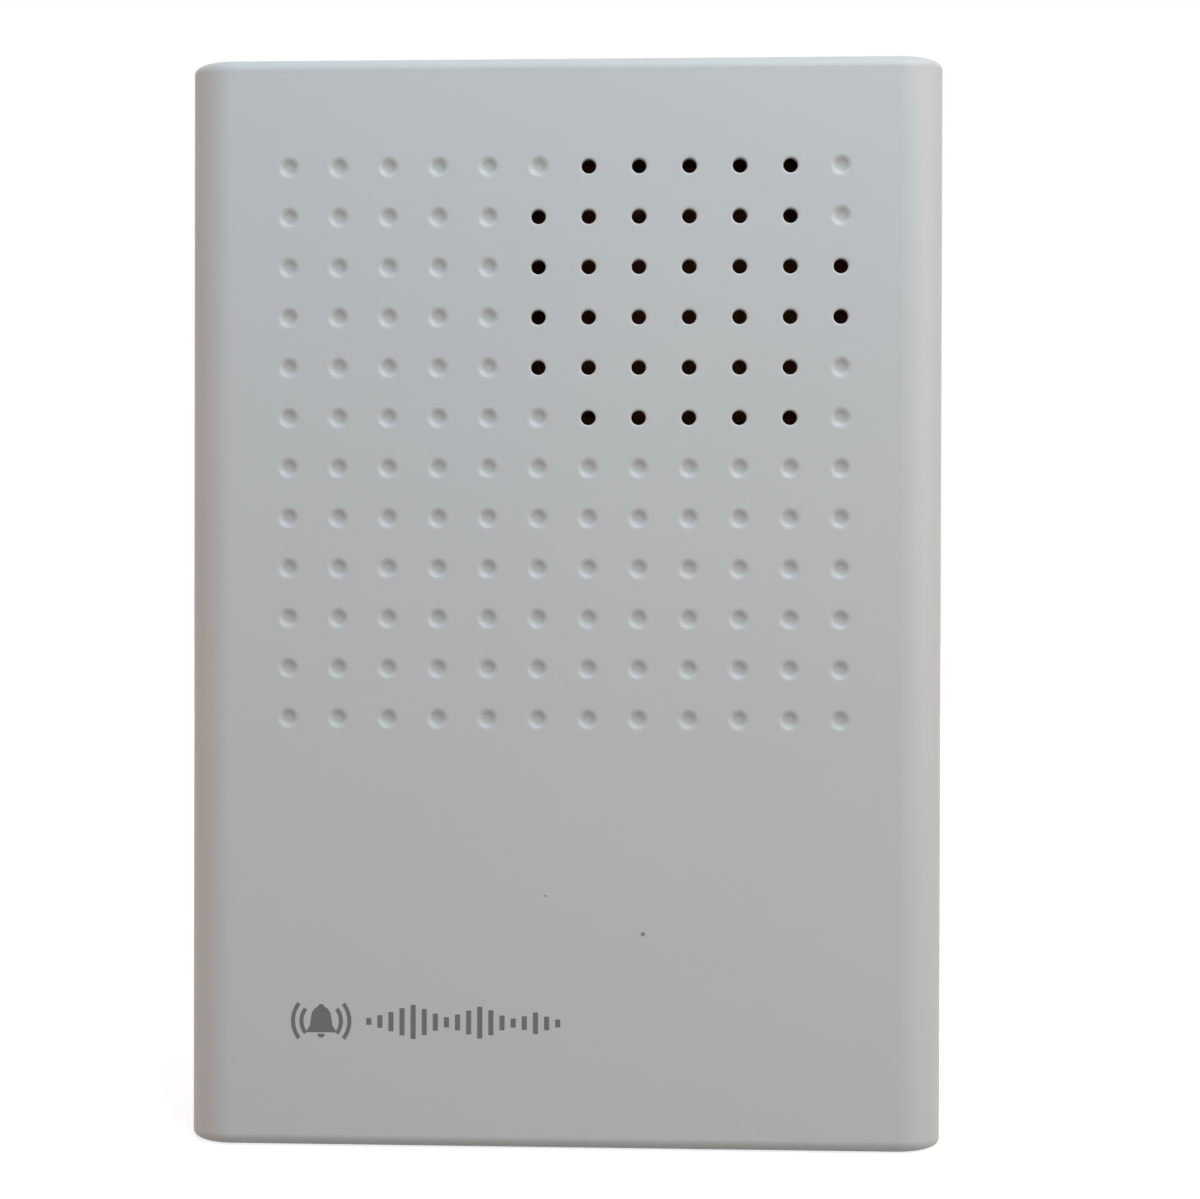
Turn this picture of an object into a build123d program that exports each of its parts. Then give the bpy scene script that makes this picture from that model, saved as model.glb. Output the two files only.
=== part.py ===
from build123d import *
import os
from math import asin, cos, hypot, radians, sin

# Indoor chime unit of a wired doorbell, in millimetres.
# It is modelled lying on its back: x to the right, y up the wall, z out of the wall.
# The functions of the last section turn each piece upright, so that +Z is up and the face looks along -Y.

# Case
case_width = 67.0
case_height = 96.0
case_depth = 27.0
wall = 2.0
side_edge_radius = 4.2          # the long front edges
end_edge_radius = 1.0           # the short front edges and the four corners
inner_corner_radius = 0.5
plate_thickness = 2.5
plate_inset = 0.2               # the back plate stands this far inside the cover's outline
plate_edge_chamfer = 0.4
overlap = 0.5                   # how far a boss or rib is rooted in the wall that carries it

# Dot grid on the face
dot_rows = 12
dot_columns = 12
dot_pitch = 4.4
grid_top_margin = 9.7           # from the top edge of the case to the first row
dot_hole_diameter = 1.2
dimple_diameter = 1.5
dimple_depth = 0.4
dimple_lift = 0.1               # how far a dimple's cone is carried on past the face
open_dots_radius = 14.75        # dots nearer than this to the speaker's axis are through holes

# Lip that locates the cover, and its four snap hooks
lip_thickness = 1.5
lip_height = 4.0
lip_clearance = 0.2
hook_width = 7.0
hook_thickness = 1.2
hook_height = 6.0
hook_nose = 0.6
hook_nose_height = 1.7
hook_gap = 1.5
hook_end_distance = 18.0        # from the ends of the case to a hook's centre
bead_proud = 0.6
bead_height = 1.2
bead_clearance = 0.25
pry_notch_width = 8.0
pry_notch_height = 1.2

# Wall fixings and cable window
wall_screw_radius = 2.25
upper_hole_side_gap = 9.8       # from the lip to the upper hole
upper_hole_end_gap = 6.3
slot_spacing = 40.0
slot_length = 8.0
slot_end_gap = 4.8
fixing_boss_margin = 2.4
fixing_boss_height = 1.0
window_width = 14.0
window_height = 14.0
window_corner_radius = 1.0
window_rim = 1.2
window_drop = 4.3               # from the speaker's axis down to the window's centre

# Speaker
speaker_diameter = 36.0
speaker_side_gap = 2.9          # from the flange to the cover's side wall
speaker_top_gap = 0.7
frame_sheet = 0.6
flange_inner_radius = 15.6
basket_base_radius = 9.5
basket_depth = 7.0
basket_window_width = 9.0
magnet_radius = 9.2
magnet_bore_radius = 5.8
magnet_height = 4.5
pole_plate_radius = 8.5
pole_plate_thickness = 1.5
pole_radius = 4.0
coil_clearance = 0.3
former_wall = 0.15
coil_thickness = 0.3
coil_height = 2.9
soft_clearance = 0.3
gasket_thickness = 0.9
gasket_width = 1.2
paper_thickness = 0.3
edge_sheet = 0.2
cone_depth = 4.4
cone_radius = 12.8
cap_radius = 5.6
cap_rise = 1.8
spider_sheet = 0.25
spider_rim = 1.0
spider_rise = 1.2
spider_wave = 0.3
spider_steps = 4
sound_ring_height = 1.0
sound_ring_width = 1.0

# Speaker's tag board and leads
tag_tongue_width = 8.0
tag_tongue_length = 4.6
tag_board_thickness = 0.8
tag_spacing = 4.4
tag_width = 1.6
tag_thickness = 0.4
tag_length = 6.0
tag_overhang = 2.0              # of a tag past the end of its board
tag_board_gap = 0.5             # from the magnet's rim to the board
tinsel_radius = 0.25
tinsel_bend_radius = 1.0
tinsel_start_radius = 8.0       # where the tinsel leads leave the cone
lead_radius = 0.6
lead_board_run = 1.0            # straight end of a lead above the board

# Fasteners
post_radius = 2.6
post_circle_gap = 2.2           # from the flange's edge to a post's axis
gusset_length = 3.0
gusset_thickness = 1.2
gusset_height = 7.5
washer_radius = 3.1
washer_thickness = 0.5
screw_head_radius = 1.9
screw_head_height = 1.3
screw_shank_radius = 1.0
screw_length = 7.0
screw_recess_reach = 1.15
screw_recess_width = 0.5
screw_recess_depth = 0.6
pilot_clearance = 0.05

# Circuit board
board_thickness = 1.6
board_standoff = 3.5
board_side_gap = 1.8            # from the lip to the board
board_speaker_gap = 5.3         # from the speaker down to the board
board_end_gap = 10.3            # from the lower lip up to the board
board_hole_radius = 1.3
board_hole_inset = 3.0
board_post_radius = 2.5
pin_hole_radius = 0.65

# Terminal block
ways = 2
way_pitch = 5.08
terminal_end_wall = 0.2
terminal_depth = 8.0
terminal_height = 10.4
terminal_left_gap = 12.5        # from the board's left edge to the block's centre
terminal_edge_gap = 0.5         # from the board's top edge to the wire entries
terminal_floor = 0.8
terminal_ledge = 0.5
terminal_chamfer = 1.0
screw_axis_depth = 3.8          # from the wire entries to the screws
clamp_clearance = 0.2
clamp_half_width = 1.7
clamp_length = 3.2
clamp_height = 5.0
clamp_wall = 0.6
clamp_travel = 2.0
contact_half_width = 0.9
contact_thickness = 0.8
contact_pin_side = 0.8
contact_pin_protrusion = 1.5
terminal_screw_radius = 1.15
terminal_head_radius = 1.65
terminal_head_height = 1.4
thread_clearance = 0.05
entry_half_width = 1.4

# Components on the board
supply_capacitor_radius = 4.0
supply_capacitor_height = 11.5
output_capacitor_radius = 3.15
output_capacitor_height = 11.0
capacitor_groove = 0.35
capacitor_groove_height = 1.2
capacitor_foot = 1.3            # from the board up to the groove
sound_chip_size = (9.4, 6.4, 3.2)
amplifier_chip_size = (5.0, 4.0, 1.5)
chip_standoff = 0.4
chip_legs_per_side = 4
chip_edge = 0.3
chip_dot_radius = 0.4
chip_dot_depth = 0.2
chip_dot_inset = 1.1
leg_width = 0.5
leg_thickness = 0.3
small_case_radius = 2.3
small_case_height = 4.8
small_case_flat = 1.3           # from a small case's axis to its flat face
small_case_standoff = 1.5
small_case_pitch = 1.27
ceramic_size = (3.2, 1.6, 1.1)
resistor_size = (3.2, 1.6, 0.6)
diode_size = (4.3, 2.6, 2.2)
diode_draft = 0.2
row_resistors = 4
resistor_pitch = 3.4

# Places on the board: the line that a part is counted from, how far it is from there, and how far below
# the upper edge. It is counted inwards from the left or right edge, and to the right from the middle.
sound_chip_place = ("left", 13.0, 20.5)
amplifier_chip_place = ("right", 13.5, 13.0)
supply_capacitor_place = ("middle", 4.9, 8.5)
output_capacitor_place = ("right", 6.0, 13.0)
regulator_place = ("middle", -3.0, 20.0)
transistor_place = ("middle", 7.5, 20.5)
diode_places = [("left", 24.0, 4.0), ("left", 24.0, 9.6)]
flat_ceramic_places = [("right", 13.5, 7.5), ("left", 13.0, 13.5)]
upright_ceramic_places = [("left", 5.0, 21.0)]
upright_resistor_places = [("left", 20.5, 13.5), ("left", 5.0, 15.0)]
resistor_row_place = ("right", 19.5, 25.5)

# Levels above the wall
cover_inside = case_depth - wall
gasket_front = cover_inside - sound_ring_height - soft_clearance
flange_front = gasket_front - gasket_thickness - edge_sheet
flange_back = flange_front - frame_sheet
basket_base = flange_front - basket_depth - frame_sheet
pole_plate_front = basket_base - frame_sheet
pole_plate_back = pole_plate_front - pole_plate_thickness
magnet_back = pole_plate_back - magnet_height
yoke_back = magnet_back - pole_plate_thickness
former_radius = pole_radius + coil_clearance + former_wall
gap_radius = former_radius + coil_thickness + coil_clearance
cone_neck = flange_front - edge_sheet - cone_depth
coil_middle = (pole_plate_front + pole_plate_back) / 2
coil_low = coil_middle - coil_height / 2
tongue_end = -basket_base_radius - tag_tongue_length
tag_board_back = pole_plate_front - tag_board_thickness
tag_back = tag_board_back - tag_thickness
tag_end = tongue_end - tag_overhang
board_back = plate_thickness + board_standoff
board_front = board_back + board_thickness

# Half sizes inside the cover and inside the lip
inside_x = case_width / 2 - wall
inside_y = case_height / 2 - wall
lip_outside_x = inside_x - lip_clearance
lip_outside_y = inside_y - lip_clearance
lip_inside_x = lip_outside_x - lip_thickness
lip_inside_y = lip_outside_y - lip_thickness

# Places on the wall plane
speaker_radius = speaker_diameter / 2
speaker_x = inside_x - speaker_side_gap - speaker_radius
speaker_y = inside_y - speaker_top_gap - speaker_radius
board_left = board_side_gap - lip_inside_x
board_right = -board_left
board_top = speaker_y - speaker_radius - board_speaker_gap
board_bottom = board_end_gap - lip_inside_y
terminal_x = board_left + terminal_left_gap
entry_y = board_top - terminal_edge_gap
screw_axis_y = entry_y - screw_axis_depth
pin_y = screw_axis_y - clamp_length / 2 - clamp_clearance - contact_pin_side
upper_hole_x = upper_hole_side_gap - lip_inside_x
upper_hole_y = lip_inside_y - upper_hole_end_gap
slot_y = slot_end_gap - lip_inside_y
window_y = speaker_y - window_drop
hook_y = case_height / 2 - hook_end_distance


# Small helpers

def ring(outer_radius, inner_radius, low, high):
    outline = Circle(outer_radius) - Circle(inner_radius)
    return Pos(0, 0, low) * extrude(outline, amount=high - low)


def rod(radius, low, high):
    return Pos(0, 0, low) * extrude(Circle(radius), amount=high - low)


def bar(x_low, x_high, y_low, y_high, z_low, z_high):
    block = Box(x_high - x_low, y_high - y_low, z_high - z_low, align=(Align.MIN, Align.MIN, Align.MIN))
    return Pos(x_low, y_low, z_low) * block


def turned(points):
    """A solid of revolution from (radius, height) points."""
    outline = make_face(Polyline(*points, close=True))
    return revolve(Plane.XZ * outline, Axis.Z)


def side_profile(points, length):
    """A bar along y, centred there, from the (x, z) points of its section."""
    outline = make_face(Polyline(*points, close=True))
    return extrude(Plane.XZ * outline, amount=length / 2, both=True)


def rounded_ring(half_x, half_y, thickness, radius, low, high):
    outer = RectangleRounded(2 * half_x, 2 * half_y, radius)
    inner = RectangleRounded(2 * (half_x - thickness), 2 * (half_y - thickness), radius)
    return Pos(0, 0, low) * extrude(outer - inner, amount=high - low)


def on_speaker(shape):
    return Pos(speaker_x, speaker_y, 0) * shape


def both_sides(shape):
    return [shape, mirror(shape, about=Plane.YZ)]


def pan_screw(under_head, length):
    """A cross-recessed pan head screw that points down from z = under_head."""
    head = rod(screw_head_radius, under_head, under_head + screw_head_height)
    head = chamfer(head.edges().group_by(Axis.Z)[-1], screw_head_height / 3)
    recess_floor = under_head + screw_head_height - screw_recess_depth
    half = screw_recess_width / 2
    recess_top = recess_floor + screw_head_height
    blade = bar(-screw_recess_reach, screw_recess_reach, -half, half, recess_floor, recess_top)
    for angle in (0, 90):
        head -= Rot(0, 0, angle) * blade
    return head + rod(screw_shank_radius, under_head - length, under_head)


# Front cover

def case_block(half_x, half_y, low, high, side_radius, end_radius):
    """A block with rounded long front edges, and smaller radii round both of its ends."""
    block = bar(-half_x, half_x, -half_y, half_y, low, high)
    long_edges = block.edges().filter_by(Axis.Y).group_by(Axis.Z)[-1]
    block = fillet(long_edges, side_radius)
    for end_face in (block.faces().sort_by(Axis.Y)[0], block.faces().sort_by(Axis.Y)[-1]):
        end_edges = end_face.edges().filter_by(lambda edge: edge.center().Z > low + end_radius)
        block = fillet(end_edges, end_radius)
    return block


def dot_places():
    """The places of the through holes, and those of the blind dimples."""
    holes = []
    dimples = []
    first_y = case_height / 2 - grid_top_margin
    first_x = -(dot_columns - 1) / 2 * dot_pitch
    for row in range(dot_rows):
        for column in range(dot_columns):
            x = first_x + column * dot_pitch
            y = first_y - row * dot_pitch
            near = hypot(x - speaker_x, y - speaker_y) < open_dots_radius
            (holes if near else dimples).append((x, y))
    return holes, dimples


def snap_bead():
    """The inner bead of the cover that a hook grips, on the right-hand wall."""
    low = plate_thickness + hook_height - hook_nose_height - bead_clearance - bead_height
    root = inside_x + overlap
    tip = inside_x - bead_proud
    slope = bead_height / 3
    points = [(root, low), (inside_x, low), (tip, low + slope), (tip, low + bead_height - slope / 2)]
    points += [(inside_x, low + bead_height), (root, low + bead_height)]
    return side_profile(points, hook_width)


def front_cover():
    outer = case_block(
        case_width / 2, case_height / 2, plate_thickness, case_depth, side_edge_radius, end_edge_radius
    )
    inner = case_block(
        inside_x, inside_y, plate_thickness - 1, cover_inside, side_edge_radius - wall, inner_corner_radius
    )
    cover = outer - inner

    ring_outer = flange_inner_radius + sound_ring_width
    ring_low = cover_inside - sound_ring_height
    cover += on_speaker(ring(ring_outer, flange_inner_radius, ring_low, cover_inside + overlap))
    for y in (hook_y, -hook_y):
        for bead in both_sides(snap_bead()):
            cover += Pos(0, y, 0) * bead

    notch_half = pry_notch_width / 2
    notch_top = plate_thickness + pry_notch_height
    cover -= bar(-notch_half, notch_half, -case_height / 2 - 1, -inside_y + 1, plate_thickness - 1, notch_top)

    holes, dimples = dot_places()
    drill = rod(dot_hole_diameter / 2, cover_inside - 1, case_depth + 1)
    cover -= [Pos(x, y, 0) * drill for x, y in holes]
    point_height = dimple_depth + dimple_lift
    point_radius = dimple_diameter / 2 * point_height / dimple_depth
    point = Cone(0, point_radius, point_height, align=(Align.CENTER, Align.CENTER, Align.MIN))
    cover -= [Pos(x, y, case_depth - dimple_depth) * point for x, y in dimples]
    return cover


# Back plate

def post_places():
    """The four speaker posts, on the diagonals round the speaker's axis."""
    circle = speaker_radius + post_circle_gap
    places = []
    for angle in (45, 135, 225, 315):
        x = speaker_x + circle * cos(radians(angle))
        y = speaker_y + circle * sin(radians(angle))
        places.append((x, y, angle))
    return places


def board_post_places():
    xs = (board_left + board_hole_inset, board_right - board_hole_inset)
    ys = (board_bottom + board_hole_inset, board_top - board_hole_inset)
    return [(x, y) for x in xs for y in ys]


def speaker_posts():
    """Four posts with a rib each, a pilot hole in the top, and a seat for the speaker's flange."""
    root = plate_thickness - overlap
    foot = plate_thickness + 1
    gusset_top = plate_thickness + gusset_height
    reach = post_radius + gusset_length
    profile = [(-reach, root), (reach, root), (reach, foot), (post_radius / 2, gusset_top)]
    profile += [(-post_radius / 2, gusset_top), (-reach, foot)]
    gusset = side_profile(profile, gusset_thickness)
    inside_lip = bar(-lip_inside_x, lip_inside_x, -lip_inside_y, lip_inside_y, root, flange_front)
    pilot = rod(screw_shank_radius + pilot_clearance, flange_front - screw_length - 1, flange_front + 1)
    posts = []
    for x, y, angle in post_places():
        ribs = (Pos(x, y, 0) * Rot(0, 0, angle + 90) * gusset) & inside_lip
        posts.append(Pos(x, y, 0) * rod(post_radius, root, flange_front) + ribs - Pos(x, y, 0) * pilot)
    return posts


def back_plate():
    half_x = case_width / 2 - plate_inset
    half_y = case_height / 2 - plate_inset
    plate = extrude(RectangleRounded(2 * half_x, 2 * half_y, end_edge_radius), amount=plate_thickness)
    plate = chamfer(plate.edges().group_by(Axis.Z)[0], plate_edge_chamfer)
    root = plate_thickness - overlap

    lip = rounded_ring(
        lip_outside_x, lip_outside_y, lip_thickness, end_edge_radius, root, plate_thickness + lip_height
    )
    gap_half = hook_width / 2 + hook_gap
    for y in (hook_y, -hook_y):
        lip -= bar(-case_width, case_width, y - gap_half, y + gap_half, plate_thickness, case_depth)
    plate += lip

    plate += speaker_posts()
    seat_radius = speaker_radius + soft_clearance
    plate -= on_speaker(rod(seat_radius, flange_back, flange_front + 1))

    post = rod(board_post_radius, root, board_back)
    pilot = rod(screw_shank_radius + pilot_clearance, plate_thickness / 2, board_back + 1)
    for x, y in board_post_places():
        plate += Pos(x, y, 0) * post
        plate -= Pos(x, y, 0) * pilot

    boss_top = plate_thickness + fixing_boss_height
    boss = rod(wall_screw_radius + fixing_boss_margin, root, boss_top)
    plate += Pos(upper_hole_x, upper_hole_y, 0) * boss
    plate -= Pos(upper_hole_x, upper_hole_y, 0) * rod(wall_screw_radius, -1, boss_top + 1)
    slot_boss_length = slot_length + 2 * fixing_boss_margin
    slot_boss_width = 2 * (wall_screw_radius + fixing_boss_margin)
    for x in (-slot_spacing / 2, slot_spacing / 2):
        outline = SlotOverall(slot_boss_length, slot_boss_width)
        plate += Pos(x, slot_y, root) * extrude(outline, amount=boss_top - root)
        opening = SlotOverall(slot_length, 2 * wall_screw_radius)
        plate -= Pos(x, slot_y, -1) * extrude(opening, amount=boss_top + 2)

    rim = rounded_ring(
        window_width / 2 + window_rim, window_height / 2 + window_rim, window_rim,
        window_corner_radius, root, boss_top
    )
    plate += Pos(terminal_x, window_y, 0) * rim
    window = extrude(RectangleRounded(window_width, window_height, window_corner_radius), amount=boss_top + 2)
    plate -= Pos(terminal_x, window_y, -1) * window
    return plate


def snap_hooks():
    """Four tongues that stand on the plate in the gaps of the lip and bend inwards as the cover comes off."""
    face = inside_x - bead_proud - lip_clearance
    tip = min(face + hook_nose, inside_x - lip_clearance)
    back = face - hook_thickness
    top = plate_thickness + hook_height
    nose_low = top - hook_nose_height
    points = [(back, plate_thickness), (face, plate_thickness), (face, nose_low)]
    points += [(tip, nose_low + hook_nose / 2), (face, top), (back, top)]
    hook = side_profile(points, hook_width)
    return [Pos(0, y, 0) * side for y in (hook_y, -hook_y) for side in both_sides(hook)]


# Speaker, each part turned about its own axis

def speaker_frame():
    """A pressed basket: flange, conical wall with windows, flat floor and a tongue for the tag board."""
    sheet = frame_sheet
    points = [
        (speaker_radius, flange_back), (speaker_radius, flange_front), (flange_inner_radius, flange_front),
        (basket_base_radius, basket_base), (gap_radius, basket_base), (gap_radius, pole_plate_front),
        (basket_base_radius + sheet / 2, pole_plate_front), (flange_inner_radius + sheet / 2, flange_back),
    ]
    basket = turned(points)
    window_low = basket_base + sheet
    window_high = flange_back - sheet
    half_width = basket_window_width / 2
    window = bar(basket_base_radius, speaker_radius, -half_width, half_width, window_low, window_high)
    for angle in range(0, 360, 90):
        basket -= Rot(0, 0, angle) * window
    half = tag_tongue_width / 2
    tongue_root = overlap - basket_base_radius
    return basket + bar(-half, half, tongue_end, tongue_root, pole_plate_front, basket_base)


def surround():
    """The flexible edge: a glued lip on the flange, a half roll, and a landing on the cone."""
    lip_outer = flange_inner_radius + gasket_width
    roll_centre = (flange_inner_radius + cone_radius) / 2
    roll_radius = (flange_inner_radius - cone_radius) / 2
    inner_roll = roll_radius - edge_sheet
    low = flange_front
    high = flange_front + edge_sheet
    top = Line((lip_outer, high), (roll_centre + roll_radius, high))
    outer_arc = ThreePointArc(
        (roll_centre + roll_radius, high),
        (roll_centre, high + roll_radius),
        (roll_centre - roll_radius, high)
    )
    inner_edge = Line((roll_centre - roll_radius, high), (roll_centre - roll_radius, low))
    landing = Line((roll_centre - roll_radius, low), (roll_centre - inner_roll, low))
    inner_arc = ThreePointArc(
        (roll_centre - inner_roll, low),
        (roll_centre, high + inner_roll),
        (roll_centre + inner_roll, low)
    )
    bottom = Line((roll_centre + inner_roll, low), (lip_outer, low))
    side = Line((lip_outer, low), (lip_outer, high))
    outline = make_face([top, outer_arc, inner_edge, landing, inner_arc, bottom, side])
    return revolve(Plane.XZ * outline, Axis.Z)


def cone_front(radius):
    """Height of the cone's front surface at a radius."""
    return cone_neck + cone_depth * (radius - former_radius) / (cone_radius - former_radius)


def cone():
    points = [
        (former_radius, cone_neck), (cone_radius, cone_neck + cone_depth),
        (cone_radius, cone_neck + cone_depth - paper_thickness), (former_radius, cone_neck - paper_thickness),
    ]
    return turned(points)


def dome_points(base_radius, base_height, rise):
    """The crown, middle and foot of a dome's arc, whose centre lies on the axis."""
    dome_radius = (base_radius ** 2 + rise ** 2) / (2 * rise)
    half_angle = asin(base_radius / dome_radius) / 2
    crown = base_height + rise
    middle = (dome_radius * sin(half_angle), crown - dome_radius * (1 - cos(half_angle)))
    return (0, crown), middle, (base_radius, base_height)


def dust_cap():
    """A shallow dome that stands on the cone and covers the coil."""
    inner_radius = cap_radius - paper_thickness
    outer = dome_points(cap_radius, cone_front(cap_radius), cap_rise)
    inner = dome_points(inner_radius, cone_front(inner_radius), cap_rise - paper_thickness)
    edges = [ThreePointArc(*outer), ThreePointArc(*inner), Line(outer[0], inner[0]), Line(outer[2], inner[2])]
    return revolve(Plane.XZ * make_face(edges), Axis.Z)


def voice_coil_former():
    return ring(former_radius, former_radius - former_wall, coil_low, cone_neck)


def voice_coil():
    return ring(former_radius + coil_thickness, former_radius, coil_low, coil_low + coil_height)


def spider():
    """A corrugated disc from the basket's floor up to the former."""
    outer = basket_base_radius - spider_sheet
    rim_inner = outer - spider_rim
    inner = former_radius + pilot_clearance
    floor = basket_base + spider_sheet
    front = [(outer, floor), (rim_inner, floor)]
    for step in range(1, spider_steps + 1):
        radius = rim_inner + (inner - rim_inner) * step / spider_steps
        wave = spider_wave * (step % 2)
        front.append((radius, floor + spider_rise * step / spider_steps + wave))
    back = [(radius, height - spider_sheet) for radius, height in reversed(front)]
    return turned(front + back)


def speaker_top_plate():
    return ring(pole_plate_radius, gap_radius, pole_plate_back, pole_plate_front)


def speaker_magnet():
    return ring(magnet_radius, magnet_bore_radius, magnet_back, pole_plate_back)


def speaker_yoke():
    plate = rod(pole_plate_radius, yoke_back, magnet_back)
    plate = chamfer(plate.edges().group_by(Axis.Z)[0], pole_plate_thickness / 4)
    return plate + rod(pole_radius, magnet_back, pole_plate_front)


def speaker_gasket():
    outer = flange_inner_radius + gasket_width
    return ring(outer, flange_inner_radius, flange_front + edge_sheet, gasket_front)


def speaker_tag_board():
    half = tag_tongue_width / 2
    return bar(-half, half, tongue_end, -magnet_radius - tag_board_gap, tag_board_back, pole_plate_front)


def speaker_tags():
    tags = []
    for side in (-1, 1):
        low_x = (side * tag_spacing - tag_width) / 2
        tags.append(bar(low_x, low_x + tag_width, tag_end, tag_end + tag_length, tag_back, tag_board_back))
    return tags


def wire_along(points, bend_radius, radius):
    """A round wire along straight runs with rounded corners."""
    path = FilletPolyline(*points, radius=bend_radius)
    start = path.location_at(0)
    section = Plane(start.position, z_dir=path.tangent_at(0)) * Circle(radius)
    return sweep(section, path=path)


def tinsel_leads():
    """The two flexible leads, from the back of the cone through the basket's window to its tongue."""
    seat_y = (tongue_end - basket_base_radius) / 2
    start_z = cone_front(tinsel_start_radius) - paper_thickness - 2 * tinsel_radius
    leads = []
    for side in (-1, 1):
        x = side * tag_spacing / 2
        points = [(x, -tinsel_start_radius, start_z), (x, seat_y, start_z), (x, seat_y, basket_base)]
        leads.append(wire_along(points, tinsel_bend_radius, tinsel_radius))
    return leads


def speaker_lead(side):
    """An insulated lead from the back of a tag down to the board's upper edge."""
    x = speaker_x + side * tag_spacing / 2
    z = tag_back - lead_radius
    start_y = speaker_y + tag_end + tag_overhang
    turn_y = board_top - board_hole_inset / 2 - lead_radius
    points = [(x, start_y, z), (x, turn_y, z), (x, turn_y, board_front)]
    return wire_along(points, z - board_front - lead_board_run, lead_radius)


def clamp_washers():
    hole_radius = screw_shank_radius + pilot_clearance
    washer = ring(washer_radius, hole_radius, flange_front, flange_front + washer_thickness)
    return [Pos(x, y, 0) * washer for x, y, _ in post_places()]


def speaker_screws():
    screw = pan_screw(flange_front + washer_thickness, screw_length)
    return [Pos(x, y, 0) * screw for x, y, _ in post_places()]


# Circuit board and its fixings

def way_places():
    first = terminal_x - (ways - 1) / 2 * way_pitch
    return [first + way * way_pitch for way in range(ways)]


def circuit_board():
    board = bar(board_left, board_right, board_bottom, board_top, board_back, board_front)
    hole = rod(board_hole_radius, board_back - 1, board_front + 1)
    for x, y in board_post_places():
        board -= Pos(x, y, 0) * hole
    pin_hole = rod(pin_hole_radius, board_back - 1, board_front + 1)
    for x in way_places():
        board -= Pos(x, pin_y + contact_pin_side / 2, 0) * pin_hole
    return board


def board_screws():
    length = board_front - plate_thickness
    screw = pan_screw(board_front, length)
    return [Pos(x, y, 0) * screw for x, y in board_post_places()]


# Terminal block: the screw draws the cage up, and the wire is held between the cage and the bar

def terminal_levels():
    floor = board_front + terminal_floor
    clamp_low = floor + clamp_clearance
    bar_low = clamp_low + clamp_wall + clamp_travel + clamp_clearance
    cavity_top = clamp_low + clamp_height + clamp_travel + clamp_clearance
    return floor, clamp_low, bar_low, cavity_top


def terminal_block():
    floor, clamp_low, bar_low, cavity_top = terminal_levels()
    half = ways * way_pitch / 2 + terminal_end_wall
    rear = entry_y - terminal_depth
    top = board_front + terminal_height
    block = bar(terminal_x - half, terminal_x + half, rear, entry_y, board_front, top)
    front_edges = block.edges().filter_by(Axis.X).group_by(Axis.Z)[-1]
    block = chamfer(front_edges.sort_by(Axis.Y)[-1], terminal_chamfer)

    reach_x = clamp_half_width + clamp_clearance
    reach_y = clamp_length / 2 + clamp_clearance
    hole = terminal_screw_radius + clamp_clearance
    recess = terminal_head_radius + clamp_clearance
    for x in way_places():
        cavity = bar(-reach_x, reach_x, -reach_y, reach_y, floor, cavity_top)
        entry_top = bar_low + contact_thickness
        entry = bar(-entry_half_width, entry_half_width, 0, screw_axis_depth + 1, floor, entry_top)
        bore = rod(hole, cavity_top - 1, top + 1) + rod(recess, cavity_top + terminal_ledge, top + 1)
        cut = Pos(x, screw_axis_y, 0) * (cavity + entry + bore)
        slot_half = contact_half_width + thread_clearance
        slot_low = pin_y - thread_clearance
        slot_top = bar_low + contact_thickness + thread_clearance
        cut += bar(x - slot_half, x + slot_half, slot_low, screw_axis_y, board_front - 1, slot_top)
        block -= cut
    return block


def terminal_contacts():
    """For each way, the bar that the wire is pressed against, and its pin through the board."""
    _, _, bar_low, _ = terminal_levels()
    contacts = []
    pin_half = contact_pin_side / 2
    for x in way_places():
        low_y = pin_y
        high_y = screw_axis_y + clamp_length / 2
        half = contact_half_width
        contact = bar(x - half, x + half, low_y, high_y, bar_low, bar_low + contact_thickness)
        pin_bottom = board_back - contact_pin_protrusion
        contact += bar(x - pin_half, x + pin_half, low_y, low_y + contact_pin_side, pin_bottom, bar_low)
        contacts.append(contact)
    return contacts


def wire_clamp(x):
    """The cage round the bar, open along y for the wire, with the screw's hole in its top."""
    _, low, _, _ = terminal_levels()
    top = low + clamp_height
    half_y = clamp_length / 2
    cage = bar(-clamp_half_width, clamp_half_width, -half_y, half_y, low, top)
    inner = clamp_half_width - clamp_wall
    cage -= bar(-inner, inner, -half_y - 1, half_y + 1, low + clamp_wall, top - clamp_wall)
    cage -= rod(terminal_screw_radius + thread_clearance, low + clamp_wall, top + 1)
    return Pos(x, screw_axis_y, 0) * cage


def terminal_screw(x):
    _, _, bar_low, cavity_top = terminal_levels()
    tip = bar_low + contact_thickness + thread_clearance
    under_head = cavity_top + terminal_ledge + thread_clearance
    top = under_head + terminal_head_height
    screw = rod(terminal_screw_radius, tip, under_head) + rod(terminal_head_radius, under_head, top)
    half = screw_recess_width / 2
    reach = terminal_head_radius + 1
    slot = bar(-reach, reach, -half, half, top - screw_recess_depth, top + 1)
    return Pos(x, screw_axis_y, 0) * (screw - slot)


# Components

def on_board(place, shape):
    """Moves a shape from the origin to its place on the board."""
    line, distance, down = place
    x = {"left": board_left + distance, "middle": distance, "right": board_right - distance}[line]
    return Pos(x, board_top - down, 0) * shape


def chip(place, size):
    """A moulded chip case with drafted sides."""
    length, width, height = size
    low = board_front + chip_standoff
    body = bar(-length / 2, length / 2, -width / 2, width / 2, low, low + height)
    body = chamfer(body.edges().group_by(Axis.Z)[-1], chip_edge)
    dot = rod(chip_dot_radius, low + height - chip_dot_depth, low + height + 1)
    body -= Pos(chip_dot_inset - length / 2, chip_dot_inset - width / 2, 0) * dot
    return on_board(place, body)


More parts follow.
